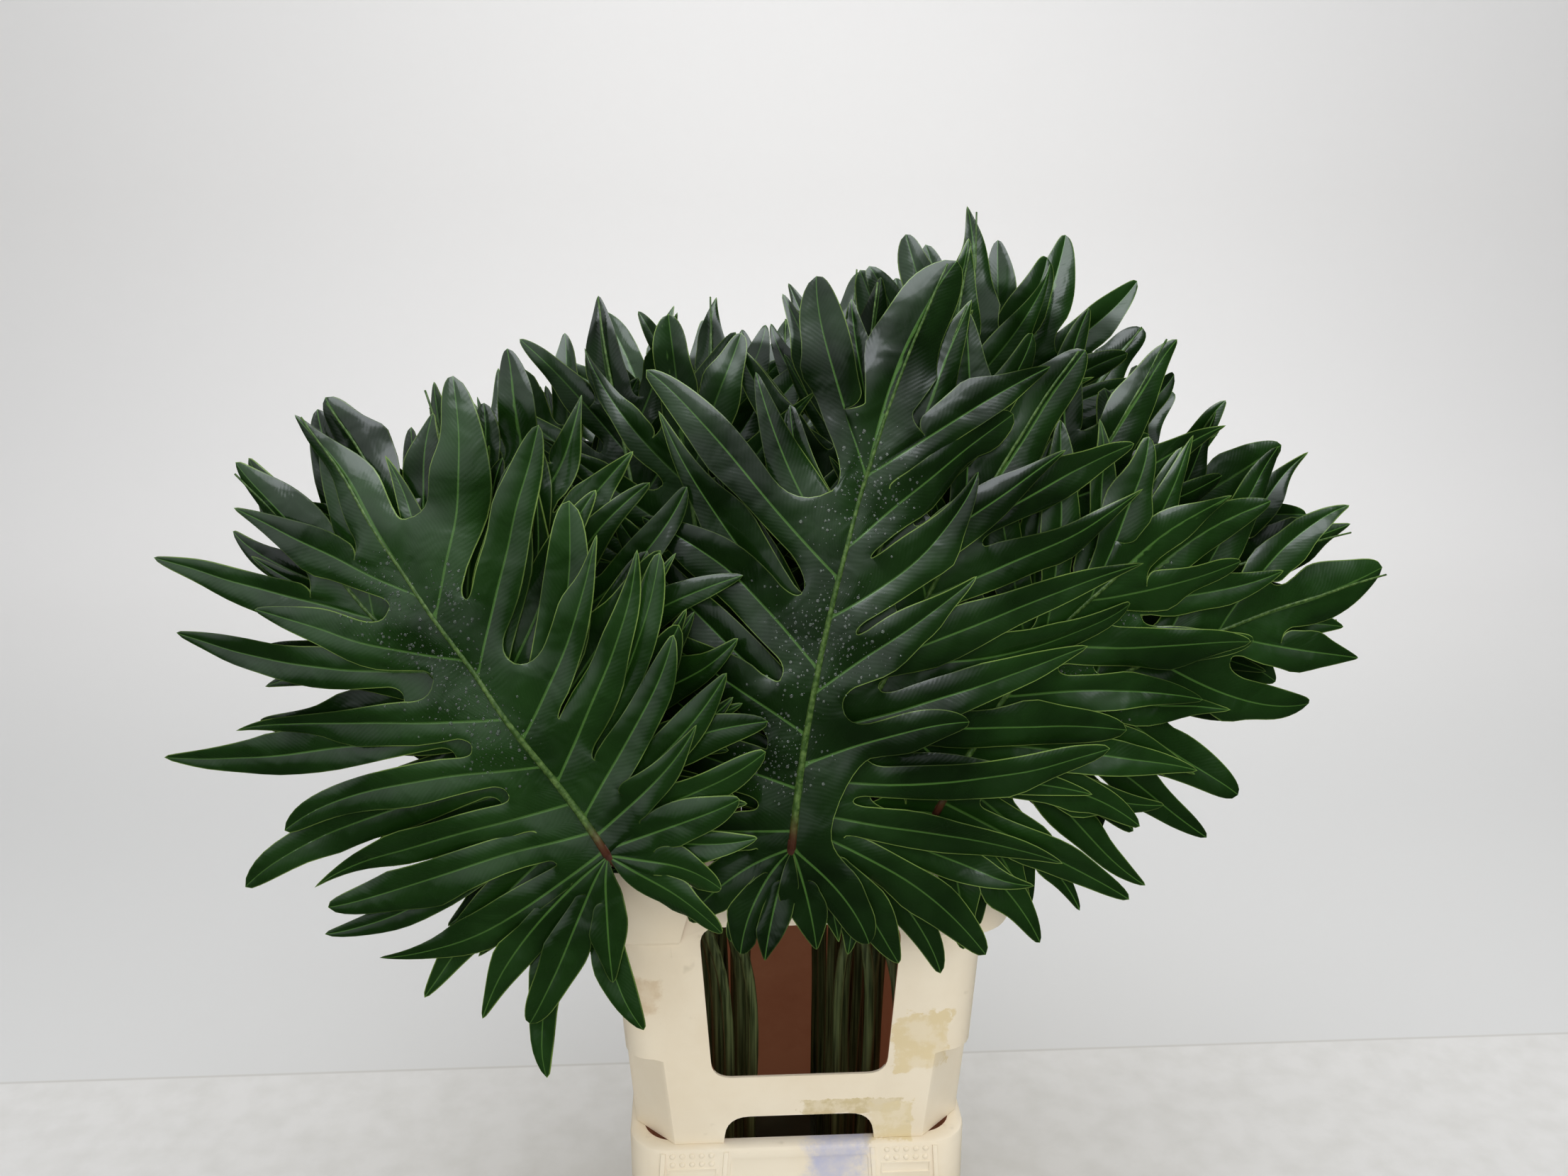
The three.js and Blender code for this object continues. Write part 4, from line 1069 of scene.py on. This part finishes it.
def on_circle(degrees):
    return np.array([math.cos(math.radians(degrees)), math.sin(math.radians(degrees))])


def ring(section, height, inset=0.0):
    width, depth, corner, flat = section
    radius = max(corner - inset, 1)
    points = []
    for sx, sy, start in ((1, 1, 0), (-1, 1, 90), (-1, -1, 180), (1, -1, 270)):
        first, last = on_circle(start), on_circle(start + 90)
        middle = np.array([sx * (width / 2 - inset - radius), sy * (depth / 2 - inset - radius)])
        for k in range(CORNER_STEPS + 1):
            way = k / CORNER_STEPS
            bulge = mix(first, last, way) if flat else on_circle(start + 90 * k / CORNER_STEPS)
            points.append((*(middle + bulge * radius), height))
    return points


def shell(name, rings, loops=False):
    """A piece skinned over rings. The run closes on itself, or is capped at both ends."""
    n, count = len(rings[0]), len(rings)
    faces = [(i * n + k, i * n + (k + 1) % n, (i + 1) % count * n + (k + 1) % n, (i + 1) % count * n + k)
             for i in range(count if loops else count - 1) for k in range(n)]
    if not loops:
        faces += [tuple(range(n))[::-1], tuple(range((count - 1) * n, count * n))]
    return link_piece(name, new_mesh(name, np.array(rings).reshape(-1, 3) * MM, faces))


print("points in a ring", len(ring(FOOT, 0)))


# %% Tools that add to a piece or cut it, and the mould's soft edges
def box(left, right, low, high):
    return [(left, low), (right, low), (right, high), (left, high)]


def rounded(points, radii, steps=7):
    """A closed outline with round corners."""
    outline = []
    for i, (at, radius) in enumerate(zip(points, radii)):
        at, before, after = (np.array(p, float) for p in (at, points[i - 1], points[(i + 1) % len(points)]))
        start = at + (before - at) / np.linalg.norm(before - at) * radius
        end = at + (after - at) / np.linalg.norm(after - at) * radius
        for t in np.linspace(0, 1, steps if radius else 1):
            outline.append(tuple((1 - t) ** 2 * start + 2 * t * (1 - t) * at + t * t * end))
    return outline


def work_in(piece):
    """Make the piece's modifiers part of its mesh."""
    mesh = plain_mesh(piece)
    piece.modifiers.clear()
    piece.data = mesh


def combine(base, kind, outline, one_y, other_y):
    """Add an outline in across and up, run from one depth to the other, or cut it out."""
    low, high = sorted((one_y, other_y))
    tool = shell("tool", [[(x, y, z) for x, z in outline] for y in (high, low)])
    change = base.modifiers.new("change", "BOOLEAN")
    change.operation, change.object, change.solver = kind, tool, "EXACT"
    work_in(base)
    bpy.data.objects.remove(tool)


def moulded(piece, width, slot_name):
    """Bevel the edges, smooth the faces, and mark those that look into the vessel."""
    bevel = piece.modifiers.new("bevel", "BEVEL")
    bevel.width, bevel.segments, bevel.limit_method = width * MM, 2, "ANGLE"
    bevel.angle_limit = math.radians(32)
    work_in(piece)
    piece.data.shade_smooth()
    piece.data.set_sharp_from_angle(angle=math.radians(38))
    for material in (cream, inner_cream_painted_shade):
        piece.data.materials.append(material)
    # Faces that look into the vessel take the second finish: the darker copy with painted shade and a painted
    # glow
    for face in piece.data.polygons:
        inwards = face.center.x * face.normal.x + face.center.y * face.normal.y
        face.material_index = int(inwards < -0.3 * math.hypot(face.center.x, face.center.y))
    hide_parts(slot_name)
    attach(piece, "root")
    print(piece.name, "faces", len(piece.data.polygons))


# %% [markdown]
# ### Cream plastic
#
# The plastic is dyed cream right through and has dulled with use. The finish is a soft satin with a fine
# mould grain, faint grey dirt, yellowed patches where paper labels were torn off, and one bluish stain on
# the bucket. Faces that look into the vessel get a darker, reddish copy of the plastic, which is painted
# shade, and a faint brown emission, which is painted light for what comes through the wall.

# %% Cream moulded plastic
# Two corners in metres, colour, how soft the edge is: four torn labels and the stain
PATCHES = [((0.082, -0.24, 0.37), (0.128, -0.18, 0.43), "#e9d6ab", 0.04),
           ((0.0, -0.24, 0.328), (0.092, -0.18, 0.344), "#d9c79b", 0.03),
           ((0.06, -0.24, 0.3), (0.098, -0.18, 0.34), "#e8d7ae", 0.04),
           ((-0.16, -0.24, 0.44), (-0.118, -0.12, 0.472), "#dfc9a8", 0.15),
           ((0.01, -0.24, 0.255), (0.056, -0.18, 0.31), "#c3c4da", 0.45)]


def vectors(tree, kind, a, b=(0.0, 0.0, 0.0)):
    return add(tree, "ShaderNodeVectorMath", {"operation": kind}, i0=a, i1=b)


def patch(tree, place, low, high, ragged, soft):
    """A mask that is 1 in a box between two corners, with a ragged edge."""
    moved = vectors(tree, "SUBTRACT", place, [(a + b) / 2 for a, b in zip(low, high)])
    scaled = vectors(tree, "DIVIDE", moved, [(b - a) / 2 for a, b in zip(low, high)])
    size = vectors(tree, "ABSOLUTE", scaled)
    parts = add(tree, "ShaderNodeSeparateXYZ", Vector=size)
    widest = sums(tree, "MAXIMUM", (parts, "X"), (parts, "Z"))
    deepest = sums(tree, "MAXIMUM", widest, (parts, "Y"))
    torn = sums(tree, "MULTIPLY_ADD", ragged, 1.6, deepest)
    whole = step(tree, torn, 1.8 + soft, 1.76 - soft)
    thin = step(tree, ragged, 0.44 - soft / 2, 0.56 + soft / 2, 1.0, 0.45)
    return sums(tree, "MULTIPLY", whole, thin)


def plastic(name, pale, dirt_and_shade, glow):
    material, tree = new_material(name)
    at = (add(tree, "ShaderNodeTexCoord"), "Object")
    age = noise(tree, 7.0, Detail=5.0, Roughness=0.6)
    colour = ramp(tree, age, 0.32, 0.62, dirt_and_shade, pale)
    ragged = noise(tree, 48.0, Detail=6.0, Roughness=0.65)
    for low, high, tint, soft in PATCHES:
        colour = blend(tree, patch(tree, at, low, high, ragged, soft), colour, linear(tint))
    marks = step(tree, noise(tree, 55.0, Detail=2.0), 0.68, 0.8, 0.0, 0.35)
    colour = blend(tree, marks, colour, linear("#b3a384"))
    grain = noise(tree, 700.0, Detail=1.0)
    bump = add(tree, "ShaderNodeBump", Strength=0.12, Distance=0.0003, Height=grain)
    dull = step(tree, age, 0.3, 0.7, 0.58, 0.44)
    # glow is painted light: a faint brown emission that stands in for light coming through the wall
    finish_material(tree, Base_Color=colour, Roughness=dull, IOR=1.49, Normal=bump,
                    Emission_Color=linear("#7a4630"), Emission_Strength=glow)
    return material


cream = plastic("cream moulded plastic", "#f8ecd5", "#f0e1c6", 0.0)
# Seen from inside: darker, reddish colours, which are painted shade, and a faint glow, which is painted light
inner_cream_painted_shade = plastic("cream plastic inside, with painted shade and glow", "#b08a6a", "#8f664a", 0.27)

# %% Bucket
bucket = shell("fine_bucket", [
    ring(FOOT, 0), ring(MOUTH, BUCKET_HEIGHT - 3), ring(LEDGE, BUCKET_HEIGHT - 3.4, WALL),
    ring(LEDGE, SKIRT_FOOT, WALL), ring(LEDGE, SKIRT_FOOT), ring(LEDGE, BUCKET_HEIGHT - 5),
    ring(LIP, BUCKET_HEIGHT - 1.6), ring(LIP_TOP, BUCKET_HEIGHT), ring(MOUTH, BUCKET_HEIGHT, WALL),
    ring(FOOT, WALL, WALL)])
PANEL = rounded([(-63, 243), (63, 243), (60, 288), (-60, 288)], (4, 4, 4, 4))
FRAMES = (-94, 94)
for side in (-1, 1):
    face = side * LEDGE[1] / 2
    combine(bucket, "DIFFERENCE", PANEL, face - side * 1.5, face + side * 4)
    for across in (-1, 1):
        for lower, upper in ((across * 68, across * 64), (across * 123, across * 119)):
            rib = [(lower - 2, 240), (lower + 2, 240), (upper + 2, 296), (upper - 2, 296)]
            combine(bucket, "UNION", rib, face - side * 1, face + side * 1.4)
    for across in FRAMES:
        combine(bucket, "UNION", box(across - 22, across + 22, 268, 280), face - side * 1, face + side * 0.7)
        combine(bucket, "DIFFERENCE", box(across - 20.6, across + 20.6, 269.4, 278.6),
                face - side * 0.4, face + side * 4)
moulded(bucket, 0.5, "bucket")

# %% Collar
WINDOW = rounded([(-75, 370), (75, 370), (84, 521), (-84, 521)], (17, 17, 17, 17))
NOTCH = rounded([(-67, 290), (67, 290), (63, 328), (-63, 328)], (0, 0, 20, 20))
COLLAR_TOP, COLLAR_BASE = 594, 300.3
outer = [(COLLAR_FOOT, COLLAR_BASE), (COLLAR_WAIST, 389), (COLLAR_STEP, 392), (SHOULDER, 506), (BAND, 512),
         (BAND, COLLAR_TOP)]
inner = [(BAND, COLLAR_TOP), (BAND, 515), (SHOULDER, 509), (COLLAR_STEP, 392), (COLLAR_WAIST, 389),
         (COLLAR_FOOT, COLLAR_BASE)]
collar = shell("fine_collar", [ring(*at) for at in outer] + [ring(*at, WALL) for at in inner], True)
# The band stops short of the middle of the front and the back, where the wall runs up smoothly instead
combine(collar, "DIFFERENCE", [(-103, 500), (103, 500), (75, 600), (-75, 600)], -240, 240)
for side in (-1, 1):
    combine(collar, "UNION", box(-107, 107, 494, COLLAR_TOP), side * 205, side * 208)
combine(collar, "DIFFERENCE", WINDOW, -300, 300)
combine(collar, "DIFFERENCE", NOTCH, -300, 300)
moulded(collar, 0.9, "collar")

# %% [markdown]
# ### Dots
#
# Rows of low domes stand on the skirt above each raised frame, five across and two down in each block.
# Geometry Nodes lay them out: a grid of points, one dome on each.

# %% Geometry Nodes tree for a block of dots
dots_tree, taken, dot_inputs = new_tree("block of dots", "Geometry", "Dots", {
    "Columns": "Int", "Rows": "Int", "Pitch": "Float", "Radius": "Float", "Height": "Float",
    "Finish": "Material"})
spans = []
for name in ("Columns", "Rows"):
    fewer = sums(dots_tree, "SUBTRACT", (taken, name), 1.0)
    spans.append(sums(dots_tree, "MULTIPLY", fewer, (taken, "Pitch")))
grid = add(dots_tree, "GeometryNodeMeshGrid", Size_X=spans[0], Size_Y=spans[1],
           Vertices_X=(taken, "Columns"), Vertices_Y=(taken, "Rows"))
dome = add(dots_tree, "GeometryNodeMeshUVSphere", Segments=12, Rings=8, Radius=(taken, "Radius"))
flatness = sums(dots_tree, "DIVIDE", (taken, "Height"), (taken, "Radius"))
squash = add(dots_tree, "ShaderNodeCombineXYZ", X=1.0, Y=1.0, Z=flatness)
domes = add(dots_tree, "GeometryNodeInstanceOnPoints", Points=(grid, "Mesh"), Instance=(dome, "Mesh"),
            Scale=squash)
finish_tree(dots_tree, domes, taken)

# %% Put two blocks of dots on the front and the back of the skirt
blocks = []
for side in (-1, 1):
    for across in FRAMES:
        at, rings = points_and_faces(grown(bpy.data.meshes.new("dots"), dots_tree, dot_inputs, {
            "Columns": 5, "Rows": 2, "Pitch": 0.0085, "Radius": 0.0027, "Height": 0.0015, "Finish": cream}))
        x, y, z = at.T
        upright = np.stack([across * MM - side * x, side * (LEDGE[1] / 2 * MM + z), 288.5 * MM + y], 1)
        blocks.append((upright, rings))
dots_mesh = new_mesh("skirt_dots", *joined(blocks))
dots_mesh.shade_smooth()
dots_mesh.materials.append(cream)
dots = link_piece("skirt_dots", dots_mesh)
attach(dots, "root")
print("points in the dots", len(dots_mesh.vertices))

# %% [markdown]
# ### Water
#
# The stalks stand in a few centimetres of water. It is the solid itself, still and a little cloudy with
# plant juice, so it lets only part of the light through.

# %% Still water
still_water, tree = new_material("still water")
murk = ramp(tree, noise(tree, 14.0, Detail=2.0), 0.35, 0.65, "#4c5a48", "#66735c")
finish_material(tree, Base_Color=murk, Roughness=0.05, IOR=1.33, Transmission_Weight=0.6)
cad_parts["water"].data.materials.clear()
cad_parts["water"].data.materials.append(still_water)

# %% [markdown]
# ## Floor and backdrop
#
# The bucket stands on a pale, slightly stained floor. Behind a joint it goes on as clean paper that sweeps
# up into the backdrop, so the camera sees a floor and a wall while other views stay open. The paper is one
# sheet, and its finish tells floor, joint and wall apart by how far back a point lies.

# %% Matt paper
JOINT_Y, JOINT_WIDTH = 0.345, 0.004
WALL_Y, SWEEP_RADIUS, HALF_WIDTH = 3.3, 1.0, 7.0
paper, tree = new_material("matt studio paper")
at = add(tree, "ShaderNodeSeparateXYZ", Vector=(add(tree, "ShaderNodeTexCoord"), "Object"))
floor = ramp(tree, noise(tree, 26.0, Detail=8.0), 0.3, 0.62, "#c5c3be", "#cccac6")
# Painted shade: behind the joint the paper starts darker and grows lighter farther back, so the wall looks
# darker near the floor
farther = step(tree, (at, "Y"), 0.9, 2.9)
wall = ramp(tree, farther, 0.0, 1.0, "#c6c5c2", "#e8e6e3")
behind = step(tree, (at, "Y"), JOINT_Y - JOINT_WIDTH / 2, JOINT_Y + JOINT_WIDTH / 2)
both = blend(tree, behind, floor, wall)
before_far_side = step(tree, (at, "Y"), JOINT_Y + 1.5 * JOINT_WIDTH, JOINT_Y + JOINT_WIDTH / 2)
joint = sums(tree, "MULTIPLY", behind, before_far_side)
lined = blend(tree, joint, both, linear("#b9b6b0"))
finish_material(tree, Base_Color=lined, Roughness=0.9)

# %% Sweep
turns = np.linspace(0, math.pi / 2, 13)
line = [(WALL_Y - SWEEP_RADIUS + SWEEP_RADIUS * math.sin(a), SWEEP_RADIUS - SWEEP_RADIUS * math.cos(a))
        for a in turns]
line = [(-HALF_WIDTH, 0.0), *line, (WALL_Y, 6.0)]
faces = [(2 * i, 2 * i + 1, 2 * i + 3, 2 * i + 2) for i in range(len(line) - 1)]
points = [(x, y, z) for y, z in line for x in (-HALF_WIDTH, HALF_WIDTH)]
sheet = link_piece("floor", new_mesh("floor", points, faces))
sheet.data.shade_smooth()
sheet.data.materials.append(paper)
sheet.visible_glossy = False
print("points in the sweep", 2 * len(line))

# %% [markdown]
# ## Light
#
# A wide soft lamp hangs above and in front of the leaves, so their wax shows it as broad streaks. Two fills
# lighten the front and the back, and a fourth lamp lights the backdrop. These three don't show in the wax,
# nor does the paper. The room is bright above and dim at eye height, which keeps the gaps between the
# leaves dark. That is how glossy faces see it: to matt faces and to the camera it is one even grey.


# %% Lamps
def area_lamp(name, place, target, size, power, colour, in_reflections=False):
    lamp = bpy.data.objects.new(name, bpy.data.lights.new(name, "AREA"))
    lamp.data.shape, lamp.data.size, lamp.data.size_y = "RECTANGLE", *size
    lamp.data.energy = power
    lamp.data.color = linear(colour)[:3]
    lamp.visible_glossy = in_reflections
    lamp.location = place
    lamp.rotation_euler = (Vector(target) - Vector(place)).to_track_quat("-Z", "Y").to_euler()
    bpy.context.scene.collection.objects.link(lamp)
    print(name, power, "W")


area_lamp("ceiling lamp", (0.1, -0.5, 3.0), (0.0, 0.1, 0.6), (2.8, 1.8), 50, "#f4f7ff", True)
area_lamp("front fill", (0.4, -3.2, 2.0), (0, 0, 0.7), (3.4, 2.4), 62, "#fbfaf6")
area_lamp("back fill", (0.5, 2.2, 3.0), (0, 0, 0.6), (2.0, 1.2), 26, "#fbfaf6")
area_lamp("backdrop lamp", (0.5, 0.6, 3.4), (0.3, 3.2, 1.2), (4.5, 1.2), 46, "#f6f8ff")

# %% Room
BRIGHTEST = (-0.42, -0.12, 0.9)
world = bpy.data.worlds.new("pale room")
bpy.context.scene.world = world
world.use_nodes = True
room = world.node_tree
room.nodes.clear()
facing = (add(room, "ShaderNodeTexCoord"), "Generated")
overhead = vectors(room, "DOT_PRODUCT", facing, BRIGHTEST)
shades = ramp(room, (overhead, "Value"), 0.15, 0.8, "#202322", "#f6faff")
path = add(room, "ShaderNodeLightPath")
lit = blend(room, (path, "Is Diffuse Ray"), shades, linear("#a9abad"))
seen = blend(room, (path, "Is Camera Ray"), lit, linear("#dcdee0"))
glow = add(room, "ShaderNodeBackground", Color=seen, Strength=0.85)
add(room, "ShaderNodeOutputWorld", Surface=glow)
bpy.context.scene.view_settings.view_transform = "Standard"
print("nodes in the room", len(room.nodes))
